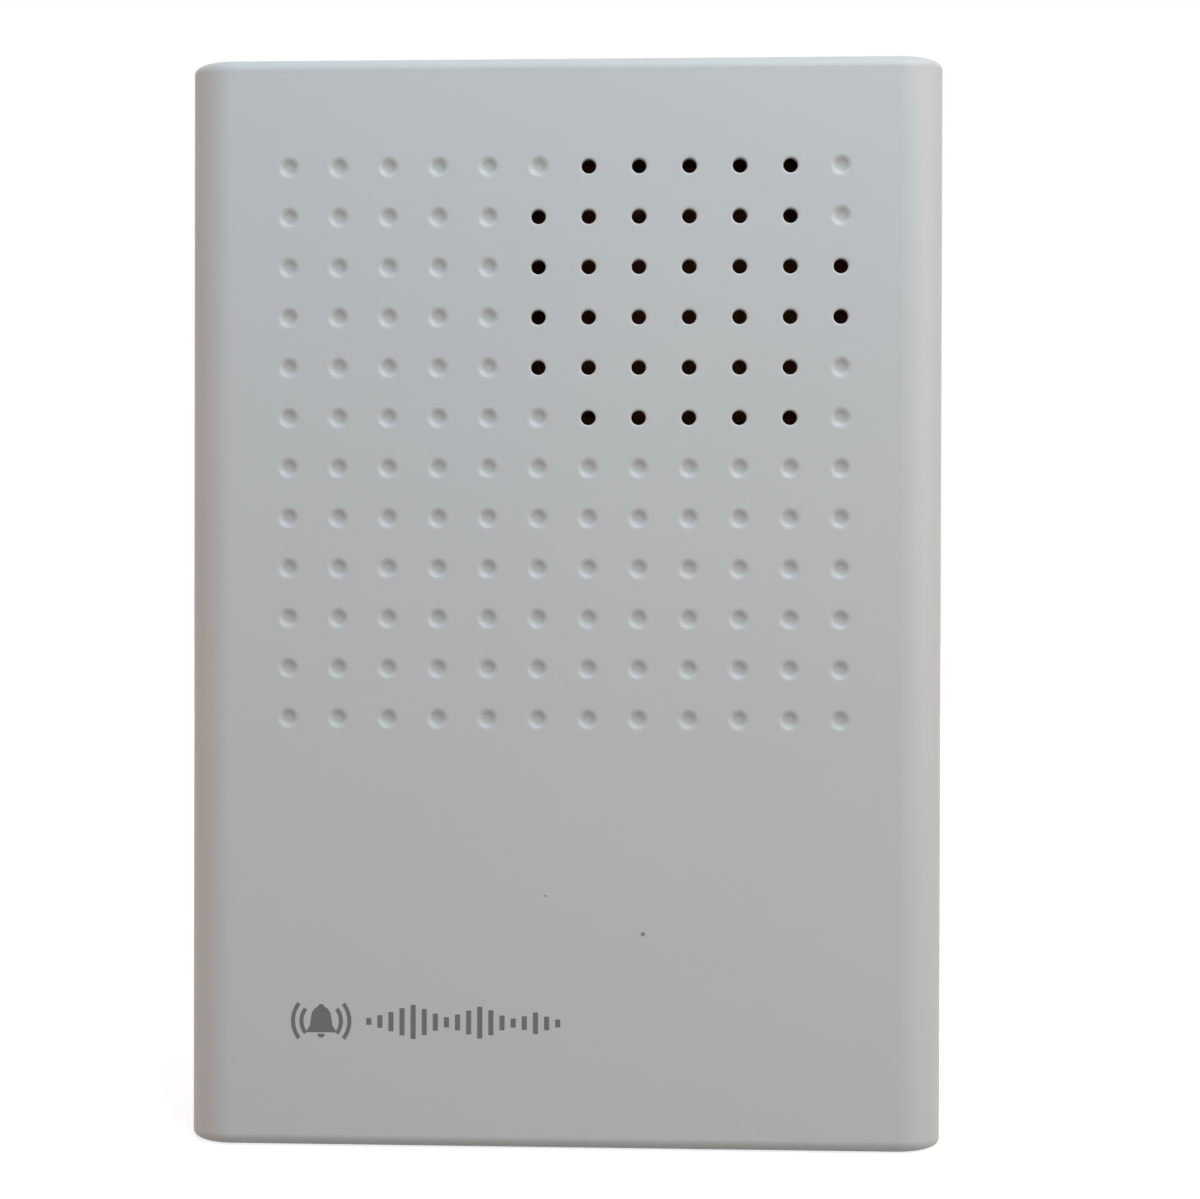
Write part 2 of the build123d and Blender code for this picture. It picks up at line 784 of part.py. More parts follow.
def chip_leg_row(place, size):
    """The bent legs of one chip, on both of its long sides."""
    length, width, height = size
    pitch = length / chip_legs_per_side
    shoulder = board_front + chip_standoff + height / 2
    outer = width / 2 + leg_thickness * 3
    legs = []
    for side in (-1, 1):
        for number in range(chip_legs_per_side):
            x = (number - (chip_legs_per_side - 1) / 2) * pitch
            points = [
                (width / 2, shoulder), (outer, shoulder), (outer, board_front),
                (outer - leg_thickness, board_front), (outer - leg_thickness, shoulder - leg_thickness),
                (width / 2, shoulder - leg_thickness),
            ]
            leg = side_profile(points, leg_width)
            legs.append(on_board(place, Pos(x, 0, 0) * Rot(0, 0, 90 * side) * leg))
    return legs


def small_case(place):
    """A three-legged transistor case with one flat side."""
    low = board_front + small_case_standoff
    body = rod(small_case_radius, low, low + small_case_height)
    reach = small_case_radius + 1
    body -= bar(-reach, reach, -reach, -small_case_flat, low - 1, low + small_case_height + 1)
    return on_board(place, body)


def small_case_legs(place):
    legs = []
    half = leg_width / 2
    for number in (-1, 0, 1):
        x = number * small_case_pitch
        leg = bar(x - half, x + half, -half, half, board_front, board_front + small_case_standoff)
        legs.append(on_board(place, leg))
    return legs


def electrolytic(place, radius, height):
    """An upright can with the rolled groove of its seal near the foot and a rounded rim."""
    groove_low = board_front + capacitor_foot
    groove_high = groove_low + capacitor_groove_height
    neck = radius - capacitor_groove
    top = board_front + height
    points = [
        (0, board_front), (radius, board_front), (radius, groove_low), (neck, (groove_low + groove_high) / 2),
        (radius, groove_high), (radius, top - capacitor_groove), (radius - capacitor_groove, top), (0, top),
    ]
    return on_board(place, turned(points))


def flat_parts(places, size, turn):
    """Surface-mounted parts of one size, turned by an angle in degrees."""
    length, width, height = size
    body = bar(-length / 2, length / 2, -width / 2, width / 2, board_front, board_front + height)
    return [on_board(place, Rot(0, 0, turn) * body) for place in places]


def ceramic_capacitors():
    flat = flat_parts(flat_ceramic_places, ceramic_size, 0)
    return flat + flat_parts(upright_ceramic_places, ceramic_size, 90)


def chip_resistors():
    line, first, down = resistor_row_place
    row = [(line, first - resistor_pitch * number, down) for number in range(row_resistors)]
    return flat_parts(upright_resistor_places + row, resistor_size, 90)


def diodes():
    """Moulded diodes, narrower at the top than at the foot."""
    length, width, height = diode_size
    foot = Pos(0, 0, board_front) * Rectangle(width, length)
    crown = Pos(0, 0, board_front + height) * Rectangle(width - 2 * diode_draft, length - 2 * diode_draft)
    return [on_board(place, loft([foot, crown])) for place in diode_places]


def component_legs():
    legs = chip_leg_row(sound_chip_place, sound_chip_size)
    legs += chip_leg_row(amplifier_chip_place, amplifier_chip_size)
    legs += small_case_legs(regulator_place)
    legs += small_case_legs(transistor_place)
    return legs


# Everything that is written out

def all_pieces():
    pieces = {
        "front_cover": [front_cover()],
        "back_plate": [back_plate()],
        "snap_hooks": snap_hooks(),
        "circuit_board": [circuit_board()],
        "board_screws": board_screws(),
        "terminal_block": [terminal_block()],
        "terminal_contacts": terminal_contacts(),
        "sound_chip": [chip(sound_chip_place, sound_chip_size)],
        "amplifier_chip": [chip(amplifier_chip_place, amplifier_chip_size)],
        "component_legs": component_legs(),
        "supply_capacitor": [
            electrolytic(supply_capacitor_place, supply_capacitor_radius, supply_capacitor_height)
        ],
        "output_capacitor": [
            electrolytic(output_capacitor_place, output_capacitor_radius, output_capacitor_height)
        ],
        "ceramic_capacitors": ceramic_capacitors(),
        "chip_resistors": chip_resistors(),
        "diodes": diodes(),
        "voltage_regulator": [small_case(regulator_place)],
        "driver_transistor": [small_case(transistor_place)],
        "clamp_washers": clamp_washers(),
        "speaker_screws": speaker_screws(),
        "speaker_lead_red": [speaker_lead(-1)],
        "speaker_lead_black": [speaker_lead(1)],
    }
    for number, x in enumerate(way_places(), start=1):
        pieces[f"terminal_screw_{number}"] = [terminal_screw(x)]
        pieces[f"wire_clamp_{number}"] = [wire_clamp(x)]

    speaker_parts = {
        "speaker_frame": [speaker_frame()],
        "speaker_gasket": [speaker_gasket()],
        "surround": [surround()],
        "spider": [spider()],
        "cone": [cone()],
        "dust_cap": [dust_cap()],
        "voice_coil_former": [voice_coil_former()],
        "voice_coil": [voice_coil()],
        "speaker_top_plate": [speaker_top_plate()],
        "speaker_magnet": [speaker_magnet()],
        "speaker_yoke": [speaker_yoke()],
        "speaker_tag_board": [speaker_tag_board()],
        "speaker_tags": speaker_tags(),
        "tinsel_leads": tinsel_leads(),
    }
    for name, shapes in speaker_parts.items():
        pieces[name] = [on_speaker(shape) for shape in shapes]
    return pieces


def upright(shapes):
    """Turns a piece from lying on its back to hanging on the wall, as one compound of its solids."""
    solids = [solid for shape in shapes for solid in shape.solids()]
    return Compound(children=[Rot(90, 0, 0) * solid for solid in solids])


os.makedirs("parts", exist_ok=True)
for node, shapes in all_pieces().items():
    export_step(upright(shapes), f"parts/{node}.step")
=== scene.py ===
import math

import bpy
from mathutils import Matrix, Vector


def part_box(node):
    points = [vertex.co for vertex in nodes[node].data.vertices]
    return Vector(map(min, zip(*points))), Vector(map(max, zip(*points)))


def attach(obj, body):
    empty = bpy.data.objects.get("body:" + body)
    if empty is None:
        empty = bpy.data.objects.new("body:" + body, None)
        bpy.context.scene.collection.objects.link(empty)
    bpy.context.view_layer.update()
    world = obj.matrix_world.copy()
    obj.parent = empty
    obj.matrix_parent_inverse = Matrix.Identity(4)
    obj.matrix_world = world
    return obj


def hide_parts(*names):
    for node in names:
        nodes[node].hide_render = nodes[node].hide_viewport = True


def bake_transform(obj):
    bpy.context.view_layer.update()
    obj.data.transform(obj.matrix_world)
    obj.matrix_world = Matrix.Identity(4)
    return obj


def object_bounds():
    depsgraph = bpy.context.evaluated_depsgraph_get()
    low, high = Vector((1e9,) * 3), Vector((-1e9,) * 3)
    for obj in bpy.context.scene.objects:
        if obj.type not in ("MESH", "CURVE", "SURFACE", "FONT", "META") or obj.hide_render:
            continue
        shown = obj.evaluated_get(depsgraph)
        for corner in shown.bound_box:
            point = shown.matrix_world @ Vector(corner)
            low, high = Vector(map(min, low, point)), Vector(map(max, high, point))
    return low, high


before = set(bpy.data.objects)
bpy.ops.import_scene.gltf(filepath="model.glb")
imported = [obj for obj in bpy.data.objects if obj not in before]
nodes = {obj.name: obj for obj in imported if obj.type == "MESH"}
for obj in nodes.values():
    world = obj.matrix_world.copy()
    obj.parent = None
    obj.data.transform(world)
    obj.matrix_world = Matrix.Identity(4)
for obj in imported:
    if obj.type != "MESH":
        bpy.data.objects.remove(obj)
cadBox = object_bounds()
mm = 0.001
near = 0.001 * mm      # closer than this counts as the same place
print("frame loaded:", len(nodes), "nodes")

# The wall is the plane y = 0 and the face looks along -y, so what stands out of the wall has a negative y.


# helpers

def toLinear(hexColour):
    # an sRGB hex value as the linear colour that a socket takes
    channels = [int(hexColour[i:i + 2], 16) / 255 for i in (1, 3, 5)]
    linear = [c / 12.92 if c <= 0.04045 else ((c + 0.055) / 1.055) ** 2.4 for c in channels]
    return (*linear, 1)


def addNode(tree, kind, sockets=None, **settings):
    # sockets are set by name or number, to a value, an output, or a node that stands for its first output
    node = tree.nodes.new("ShaderNode" + kind)
    for name, value in settings.items():
        setattr(node, name, value)
    for name, value in (sockets or {}).items():
        if isinstance(value, bpy.types.Node):
            value = value.outputs[0]
        if isinstance(value, bpy.types.NodeSocket):
            tree.links.new(value, node.inputs[name])
        else:
            node.inputs[name].default_value = value
    return node


def setMode(mode):
    bpy.ops.object.mode_set(mode=mode)


def applyTransform():
    # puts the place, turn and scale of the selected objects into their meshes
    bpy.ops.object.transform_apply(location=True, rotation=True, scale=True)


def selectAll():
    bpy.ops.mesh.select_all(action="SELECT")


def faceOutward():
    # ends the editing of a closed mesh with all its faces outward
    selectAll()
    bpy.ops.mesh.normals_make_consistent(inside=False)
    setMode("OBJECT")


def clearSelection():
    if bpy.context.object and bpy.context.object.mode != "OBJECT":
        setMode("OBJECT")
    bpy.ops.object.select_all(action="DESELECT")


def selectPiece(piece):
    clearSelection()
    piece.select_set(True)
    bpy.context.view_layer.objects.active = piece


def editPiece(piece):
    selectPiece(piece)
    setMode("EDIT")


def pick(piece, kind, test):
    # selects the edges or faces of the piece in edit mode that pass the test
    bpy.ops.mesh.select_mode(type=kind)
    bpy.ops.mesh.select_all(action="DESELECT")
    setMode("OBJECT")
    mesh = piece.data
    if kind == "EDGE":
        for edge in mesh.edges:
            edge.select = all(test(mesh.vertices[i].co) for i in edge.vertices)
    else:
        for face in mesh.polygons:
            face.select = test(face)
    setMode("EDIT")


def joinPieces(pieces, name):
    clearSelection()
    for piece in pieces:
        piece.select_set(True)
    bpy.context.view_layer.objects.active = pieces[0]
    bpy.ops.object.join()
    pieces[0].name = name
    applyTransform()
    return pieces[0]


def copyTo(piece, x, y, z):
    # a copy with its own mesh, moved by x, y, z
    other = piece.copy()
    other.data = piece.data.copy()
    bpy.context.scene.collection.objects.link(other)
    other.location = piece.location + Vector((x, y, z))
    return other


def addDrop(place, radius, shape, segments, rings):
    # a drop that set: a ball with its radius in mm, flattened by its shape
    clearSelection()
    bpy.ops.mesh.primitive_uv_sphere_add(
        segments=segments, ring_count=rings, radius=radius * mm, location=place)
    drop = bpy.context.object
    drop.scale = shape
    applyTransform()
    return drop


def applyModifier(piece, kind, **settings):
    selectPiece(piece)
    modifier = piece.modifiers.new(kind.lower(), kind)
    for name, value in settings.items():
        setattr(modifier, name, value)
    bpy.ops.object.modifier_apply(modifier=modifier.name)


def at(x, up, out):
    # a place in mm: to the right, up the wall and out of the wall
    return Vector((x, -out, up)) * mm


def drawLine(name, points):
    # a line drawn point by point, the way a vertex is extruded by hand
    clearSelection()
    bpy.ops.mesh.primitive_plane_add(size=mm, location=points[0])
    piece = bpy.context.object
    piece.name = name
    applyTransform()
    setMode("EDIT")
    bpy.ops.mesh.select_mode(type="VERT")
    selectAll()
    bpy.ops.mesh.merge(type="CENTER")
    for start, end in zip(points, points[1:]):
        bpy.ops.mesh.extrude_region_move(TRANSFORM_OT_translate={"value": end - start})
    return piece


def turnPiece(name, profile, centre, steps, closed=False):
    # a turned piece about an axis along y: the profile is (radius, depth out of the wall) pairs in mm
    points = [Vector((centre[0], -depth * mm, centre[2] + radius * mm)) for radius, depth in profile]
    if closed:
        points.append(points[0])
    piece = drawLine(name, points)
    selectAll()
    bpy.ops.mesh.spin(steps=steps, angle=math.tau, center=(centre[0], 0, centre[2]), axis=(0, 1, 0))
    selectAll()
    bpy.ops.mesh.remove_doubles(threshold=2 * near)
    faceOutward()
    return piece


def cutFlat(name, outline, thickness):
    # a flat shape that lies along the wall, from its closed outline, with its thickness towards the wall
    piece = drawLine(name, outline + outline[:1])
    selectAll()
    bpy.ops.mesh.remove_doubles(threshold=near)
    bpy.ops.mesh.edge_face_add()
    bpy.ops.mesh.extrude_region_move(TRANSFORM_OT_translate={"value": (0, thickness * mm, 0)})
    faceOutward()
    return piece


def addBlock(name, centre, size, turn=0.0, edge=0.0):
    # a small block with eased edges: its size in mm is across, up and out, and turn is in degrees on the wall
    clearSelection()
    bpy.ops.mesh.primitive_cube_add(size=1, location=centre, rotation=(0, math.radians(-turn), 0))
    block = bpy.context.object
    block.name = name
    block.scale = Vector((size[0], size[2], size[1])) * mm
    applyTransform()
    if edge:
        applyModifier(block, "BEVEL", width=edge * mm, segments=2)
    return block


def finishPiece(piece, body, *names, degrees=35):
    # smooth shading that keeps flat faces flat, the finishes, and the body that the piece moves with,
    # when it is given one
    selectPiece(piece)
    bpy.ops.object.shade_smooth_by_angle(angle=math.radians(degrees), keep_sharp_edges=True)
    applyModifier(piece, "WEIGHTED_NORMAL", keep_sharp=True, weight=60)
    for name in names:
        piece.data.materials.append(finishes[name])
    if body:
        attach(piece, body)


# materials

finishes = {}


def newMaterial(name):
    # gives the empty node tree of a new finish
    finishes[name] = bpy.data.materials.new(name)
    finishes[name].use_nodes = True
    tree = finishes[name].node_tree
    tree.nodes.clear()
    return tree


def closeMaterial(tree, tone, roughness, relief, strength, depth, **sockets):
    # the relief, shader and output that each finish ends with
    bump = addNode(tree, "Bump", {"Strength": strength, "Distance": depth, "Height": relief})
    shader = addNode(tree, "BsdfPrincipled", {
        "Base Color": tone, "Roughness": roughness, "Normal": bump, **sockets,
    })
    addNode(tree, "OutputMaterial", {"Surface": shader})


absLook = {
    "cloud": 24, "grainDepth": 0.012, "speckColour": "#4e4a44",
    "markRadius": 2.0, "markEdge": 0.15, "markDepth": 0.1,
}


def mouldedAbs(name, colour, warmColour, grain, roughness, marks=(), specks=(), paintedShade=None):
    # ABS, injection moulded in a spark-eroded tool: satin, with a grain that only softens the highlights,
    # the shallow round marks of the tool's ejector pins, a few dark specks of pigment, and painted shade
    # in the dots
    tree = newMaterial(name)
    place = addNode(tree, "TexCoord").outputs["Object"]
    cloud = addNode(tree, "TexNoise", {"Vector": place, "Scale": 1 / (absLook["cloud"] * mm), "Detail": 2.0})
    tone = addNode(tree, "Mix", {
        0: cloud, 6: toLinear(colour), 7: toLinear(warmColour),
    }, data_type="RGBA").outputs[2]
    fine = addNode(tree, "TexNoise", {
        "Vector": place, "Scale": 1 / (grain * mm), "Detail": 3.0, "Roughness": 0.6,
    })
    gloss = addNode(tree, "MapRange", {0: fine, 3: roughness - 0.05, 4: roughness + 0.06})
    for spot, size, strength in specks:
        reach = addNode(tree, "VectorMath", {0: place, 1: spot}, operation="DISTANCE")
        cover = addNode(tree, "MapRange", {
            0: reach.outputs["Value"], 1: 0.4 * size * mm, 2: size * mm, 3: strength, 4: 0.0,
        }, interpolation_type="SMOOTHSTEP")
        tone = addNode(tree, "Mix", {
            0: cover, 6: tone, 7: toLinear(absLook["speckColour"]),
        }, data_type="RGBA").outputs[2]
    if paintedShade:
        # painted shade, darker the deeper the dots go: it is inside a square on the face, and between two
        # depths
        offset = addNode(tree, "VectorMath", {0: place, 1: paintedShade["centre"]}, operation="SUBTRACT")
        away = addNode(tree, "VectorMath", {0: offset}, operation="ABSOLUTE")
        across, inward, upward = addNode(tree, "SeparateXYZ", {0: away}).outputs
        widest = addNode(tree, "Math", {0: across, 1: upward}, operation="MAXIMUM")
        onField = addNode(tree, "Math", {0: widest, 1: paintedShade["reach"] * mm}, operation="LESS_THAN")
        notInside = addNode(tree, "Math", {0: inward, 1: paintedShade["end"] * mm}, operation="LESS_THAN")
        sunk = addNode(tree, "MapRange", {
            0: inward, 1: paintedShade["start"] * mm, 2: paintedShade["full"] * mm, 3: 0.0, 4: paintedShade["strength"],
        }, interpolation_type="SMOOTHSTEP")
        shadeZone = addNode(tree, "Math", {0: onField, 1: notInside}, operation="MULTIPLY")
        cover = addNode(tree, "Math", {0: shadeZone, 1: sunk}, operation="MULTIPLY")
        tone = addNode(tree, "Mix", {
            0: cover, 6: tone, 7: toLinear(paintedShade["colour"]),
        }, data_type="RGBA").outputs[2]
    relief = addNode(tree, "Math", {0: fine, 1: absLook["grainDepth"] * mm}, operation="MULTIPLY")
    if marks:
        # the marks go by the place on the wall alone, so they show on both faces of the moulding
        onWall = addNode(tree, "VectorMath", {0: place, 1: (1, 0, 1)}, operation="MULTIPLY")
    inner, outer = [(absLook["markRadius"] + side * absLook["markEdge"]) * mm for side in (-1, 1)]
    for x, up in marks:
        reach = addNode(tree, "VectorMath", {0: onWall, 1: at(x, up, 0)}, operation="DISTANCE")
        step = addNode(tree, "MapRange", {
            0: reach.outputs["Value"], 1: inner, 2: outer, 3: -absLook["markDepth"] * mm, 4: 0.0,
        }, interpolation_type="SMOOTHSTEP")
        relief = addNode(tree, "Math", {0: relief, 1: step}, operation="ADD")
    closeMaterial(tree, tone, gloss, relief, 0.6, 1.0, IOR=1.54)


def patterned(name, colour, darkColour, size, roughness, depth, metallic=0.0, strength=0.5, waves="",
              distortion=0.0):
    # colour and relief follow one pattern of a real size in mm: a grain, which the roughness follows too,
    # or waves along the axes that are named
    tree = newMaterial(name)
    place = addNode(tree, "TexCoord").outputs["Object"]
    bands = [addNode(tree, "TexWave", {
        "Vector": place, "Scale": math.tau / 20 / (size * mm), "Distortion": distortion,
    }, bands_direction=axis).outputs[1] for axis in waves]
    if len(bands) == 2:
        pattern = addNode(tree, "Math", {0: bands[0], 1: bands[1]}, operation="MULTIPLY")
    elif bands:
        pattern = bands[0]
    else:
        pattern = addNode(tree, "TexNoise", {"Vector": place, "Scale": 1 / (size * mm), "Detail": 4.0})
        roughness = addNode(tree, "MapRange", {0: pattern, 3: roughness + 0.08, 4: roughness - 0.06})
    tone = addNode(tree, "Mix", {0: pattern, 6: toLinear(darkColour), 7: toLinear(colour)}, data_type="RGBA")
    closeMaterial(tree, tone.outputs[2], roughness, pattern, strength, depth * mm, Metallic=metallic)


def maskedBoard(name, maskColour, paleMask, laminateColour):
    # glass laminate with a green solder mask on both faces: glossy mask, and pale dull cut edges
    tree = newMaterial(name)
    source = addNode(tree, "TexCoord")
    facing = addNode(tree, "SeparateXYZ", {0: source.outputs["Normal"]})
    flatness = addNode(tree, "Math", {0: facing.outputs[1]}, operation="ABSOLUTE")
    isFace = addNode(tree, "Math", {0: flatness, 1: 0.5}, operation="GREATER_THAN")
    weave = addNode(tree, "TexNoise", {
        "Vector": source.outputs["Object"], "Scale": 1 / (0.5 * mm), "Detail": 3.0,
    })
    mask = addNode(tree, "Mix", {0: weave, 6: toLinear(maskColour), 7: toLinear(paleMask)}, data_type="RGBA")
    tone = addNode(tree, "Mix", {
        0: isFace, 6: toLinear(laminateColour), 7: mask.outputs[2],
    }, data_type="RGBA")
    gloss = addNode(tree, "MapRange", {0: isFace, 3: 0.75, 4: 0.28})
    closeMaterial(tree, tone.outputs[2], gloss, weave, 0.4, 0.01 * mm)


# place, radius in mm and strength of each speck on the face
dustSpecks = [
    (at(-1.45, -25.6, 27), 0.17, 0.5), (at(7.1, -28.9, 27), 0.27, 0.75), (at(1.9, -1.9, 27), 0.16, 0.55)]
ejectorMarks = [(-27, 25), (27.5, -8), (-27, -14), (0, -39.5), (27, -39.5), (-27.5, -39.5), (-8, 40)]
# painted shade in the dots of the cover: darker with depth, where the pits lie in shade
dimpleShade = {
    "centre": at(0, 14.1, 27), "reach": 25.5, "start": 0.06, "full": 0.19, "end": 1.8,
    "strength": 0.22, "colour": "#6c6862",
}
# each finish: its colour and dark colour, the size of its grain, its roughness, and the grain's depth
plainFinishes = {
    "padPrintedInkGrey": ("#636664", "#5a5d5b", 0.3, 0.55, 0.004),         # flat and dull
    "solderMaskOnCopper": ("#2a8a4e", "#237a44", 1.5, 0.25, 0.004),        # a glossy, paler green line
    "screenPrintedInkWhite": ("#e4e4dc", "#d4d4cc", 0.4, 0.6, 0.004),      # chalky
    "mouldedNylonBlue": ("#2a6f9e", "#276894", 0.5, 0.45, 0.01),           # waxy sheen
    "mouldedEpoxy": ("#2a2a2c", "#202022", 0.12, 0.55, 0.006),             # fine grit, dull black
    "shrunkSleeve": ("#1c2233", "#161b29", 0.8, 0.28, 0.003),              # tight glossy film
    "shrunkSleeveStripe": ("#b9bcc2", "#aeb1b8", 0.8, 0.3, 0.003),         # the same film, printed pale
    "firedCeramicTan": ("#a58a66", "#947a58", 0.2, 0.4, 0.01),             # speckled, half dull
    "glazedFilmBlack": ("#1d1d1f", "#161617", 0.3, 0.3, 0.01),             # glassy
    "sinteredFerrite": ("#3a3a3d", "#2e2e31", 0.25, 0.6, 0.01),            # gritty and dull
    "pressedPulpPaper": ("#bf7a4b", "#985a36", 0.35, 0.85, 0.03),          # fibrous and matt
    "woundKraft": ("#a9855a", "#967248", 0.3, 0.85, 0.01),                 # matt
    "pressedFibreBoard": ("#6b4a2c", "#583b21", 0.4, 0.7, 0.01),           # mottled
    "extrudedPvcRed": ("#a81f1c", "#971a18", 0.5, 0.35, 0.003),            # smooth, with a soft gloss
    "extrudedPvcBlack": ("#1f1f20", "#18181a", 0.5, 0.35, 0.003),          # the same
}
metalFinishes = {
    "solderAlloyMelted": ("#c4c6c8", "#a6a8aa", 0.5, 0.22, 0.004),         # shiny, as it set
    "zincPlatedSteel": ("#c9c8c2", "#a9a9a4", 0.8, 0.32, 0.004),           # bright, a little cloudy
    "nickelPlatedBrass": ("#c8c0a8", "#a89f84", 0.6, 0.3, 0.004),          # bright, with a warm tinge
    "tinnedCopper": ("#cfcfca", "#b4b4ae", 0.4, 0.25, 0.003),              # white and shiny
    "drawnAluminium": ("#d2d3d4", "#bcbdbe", 0.25, 0.35, 0.004),           # pale satin
    "pressedSteelZinc": ("#bdbdb8", "#9c9c98", 1.2, 0.38, 0.006),          # greyer, with broad clouds
    "braidedCopper": ("#b9744a", "#7a4226", 0.12, 0.4, 0.05),              # glittering strands
}
# cotton cloth, stiffened: two sets of threads that cross, dull, and darker in the valleys between them
clothWeave = {"strength": 0.6, "waves": "XZ", "distortion": 0.6}
# the cover's dots get painted shade
mouldedAbs("mouldedAbsCover", "#b0b2b2", "#b3b4b2", 0.22, 0.5, specks=dustSpecks, paintedShade=dimpleShade)
mouldedAbs("mouldedAbsBase", "#adb0b0", "#b0b1af", 0.3, 0.52, marks=ejectorMarks)
maskedBoard("solderMaskOnLaminate", "#185c33", "#1f7340", "#b5a878")
patterned("dopedCloth", "#8a4a2e", "#62321c", 0.3, 0.7, 0.08, **clothWeave)
patterned("resinedCloth", "#b8873f", "#855c24", 0.32, 0.7, 0.08, **clothWeave)
# enamelled wire, wound side by side: each turn is a thin bright line, with painted shade in the dark valley
# between turns
patterned(
    "enamelledCopperWound", "#b5673a", "#5c2c14", 0.15, 0.3, 0.05, metallic=1.0, strength=0.8, waves="Y")
for name, values in plainFinishes.items():
    patterned(name, *values)
for name, values in metalFinishes.items():
    patterned(name, *values, metallic=1.0)

wornBy = {
    "mouldedAbsBase": ["back_plate", "snap_hooks"],
    "solderMaskOnLaminate": ["circuit_board"],
    "mouldedNylonBlue": ["terminal_block"],
    "zincPlatedSteel": [
        "board_screws", "terminal_screw_1", "terminal_screw_2", "clamp_washers", "speaker_screws",
        "speaker_top_plate", "speaker_yoke"],
    "nickelPlatedBrass": ["terminal_contacts", "wire_clamp_1", "wire_clamp_2"],
    "mouldedEpoxy": ["sound_chip", "amplifier_chip", "diodes", "voltage_regulator", "driver_transistor"],
    "tinnedCopper": ["component_legs", "speaker_tags"],
    "shrunkSleeve": ["supply_capacitor", "output_capacitor"],
    "firedCeramicTan": ["ceramic_capacitors"],
    "glazedFilmBlack": ["chip_resistors"],
    "pressedSteelZinc": ["speaker_frame"],
    "sinteredFerrite": ["speaker_magnet"],
    "pressedPulpPaper": ["cone", "dust_cap"],
    "dopedCloth": ["surround"],
    "resinedCloth": ["spider"],
    "pressedFibreBoard": ["speaker_gasket", "speaker_tag_board"],
    "enamelledCopperWound": ["voice_coil"],
    "braidedCopper": ["tinsel_leads"],
    "woundKraft": ["voice_coil_former"],
    "extrudedPvcRed": ["speaker_lead_red"],
    "extrudedPvcBlack": ["speaker_lead_black"],
}
for name, wearers in wornBy.items():
    for wearer in wearers:
        nodes[wearer].data.materials.clear()
        nodes[wearer].data.materials.append(finishes[name])
print("materials ready")


# front cover: a moulded shell with a grid of dots, some of them open in front of the speaker

coverLow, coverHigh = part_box("front_cover")
magnetLow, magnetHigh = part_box("speaker_magnet")
speakerAxis = (magnetLow + magnetHigh) / 2
coverShape = {
    "wall": 2.0,
    "sideRadius": 4.2, "sideSegments": 14,     # the long front edges
    "endRadius": 1.3, "endSegments": 7,        # the short front edges
    "cornerShare": 0.24,                       # how much of that radius is left where they meet the sides
    "insideRadius": 2.2, "insideSegments": 6,
    "insideEndRadius": 0.5, "insideEndSegments": 3,
    "notchWidth": 8.0, "notchHeight": 1.2,     # where a blade goes in to open it
    "notchThrough": 4.0, "notchEase": 0.3,
    "soundRing": (15.6, 16.6, 1.0),            # inner radius, outer radius and height
    "ringRoot": 0.2, "ringEase": 0.15,         # how far it is in the wall, and its eased edges
    # the beads that the hooks grip, their root in the wall, and how much their crest narrows along y and z
    "beadRows": (30.0, -30.0), "beadLength": 7.0, "beadLow": 5.35, "beadHeight": 1.2, "beadProud": 0.6,
    "beadRoot": 0.4, "beadCrest": (0.55, 0.97),
}
dotShape = {
    "rows": 12, "columns": 12, "pitch": 4.4, "fromTop": 9.7, "openRadius": 14.75, "sides": 20,
    # radius and depth of each ring, from the flat face round the lip and inwards
    "dimple": [
        (1.1, 0.0), (0.94, 0.0), (0.82, 0.025), (0.7, 0.08), (0.59, 0.14), (0.48, 0.195), (0.36, 0.235),
        (0.23, 0.26), (0.11, 0.27)],
    "hole": [
        (0.95, 0.0), (0.78, 0.0), (0.7, 0.025), (0.66, 0.07), (0.645, 0.13), (0.635, 0.5), (0.75, 0.6),
        (1.75, 1.0), (1.85, 2.0)],
}


def makeTile(name, rings, through):
    # one square of the face, with a blind dimple or a through hole in its middle
    pitch, front = dotShape["pitch"] * mm, coverLow.y
    upright = (math.pi / 2, 0, 0)
    clearSelection()
    bpy.ops.mesh.primitive_plane_add(size=pitch, location=(0, front, 0), rotation=upright)
    tile = bpy.context.object
    tile.name = name
    applyTransform()
    setMode("EDIT")
    selectAll()
    bpy.ops.mesh.delete(type="ONLY_FACE")
    radius, depth = rings[0]
    bpy.ops.mesh.primitive_circle_add(
        vertices=dotShape["sides"], radius=radius * mm, location=(0, front, 0), rotation=upright)
    selectAll()
    bpy.ops.mesh.fill(use_beauty=True)
    pick(tile, "EDGE", lambda co: math.hypot(co.x, co.z) < radius * mm * 1.01)
    for nextRadius, nextDepth in rings[1:]:
        bpy.ops.mesh.extrude_region_move(TRANSFORM_OT_translate={"value": (0, (nextDepth - depth) * mm, 0)})
        size = nextRadius / radius
        bpy.ops.transform.resize(value=(size, 1, size), center_override=(0, front + nextDepth * mm, 0))
        radius, depth = nextRadius, nextDepth
    back = front + coverShape["wall"] * mm
    if through:
        bpy.ops.mesh.select_all(action="DESELECT")
        bpy.ops.mesh.primitive_plane_add(size=pitch, location=(0, back, 0), rotation=upright)
        bpy.ops.mesh.delete(type="ONLY_FACE")
        pick(tile, "EDGE", lambda co: co.y > back - near)
        bpy.ops.mesh.fill(use_beauty=True)
    else:
        bpy.ops.mesh.merge(type="CENTER")
        bpy.ops.mesh.primitive_plane_add(size=pitch, location=(0, back, 0), rotation=upright)
    setMode("OBJECT")
    return tile


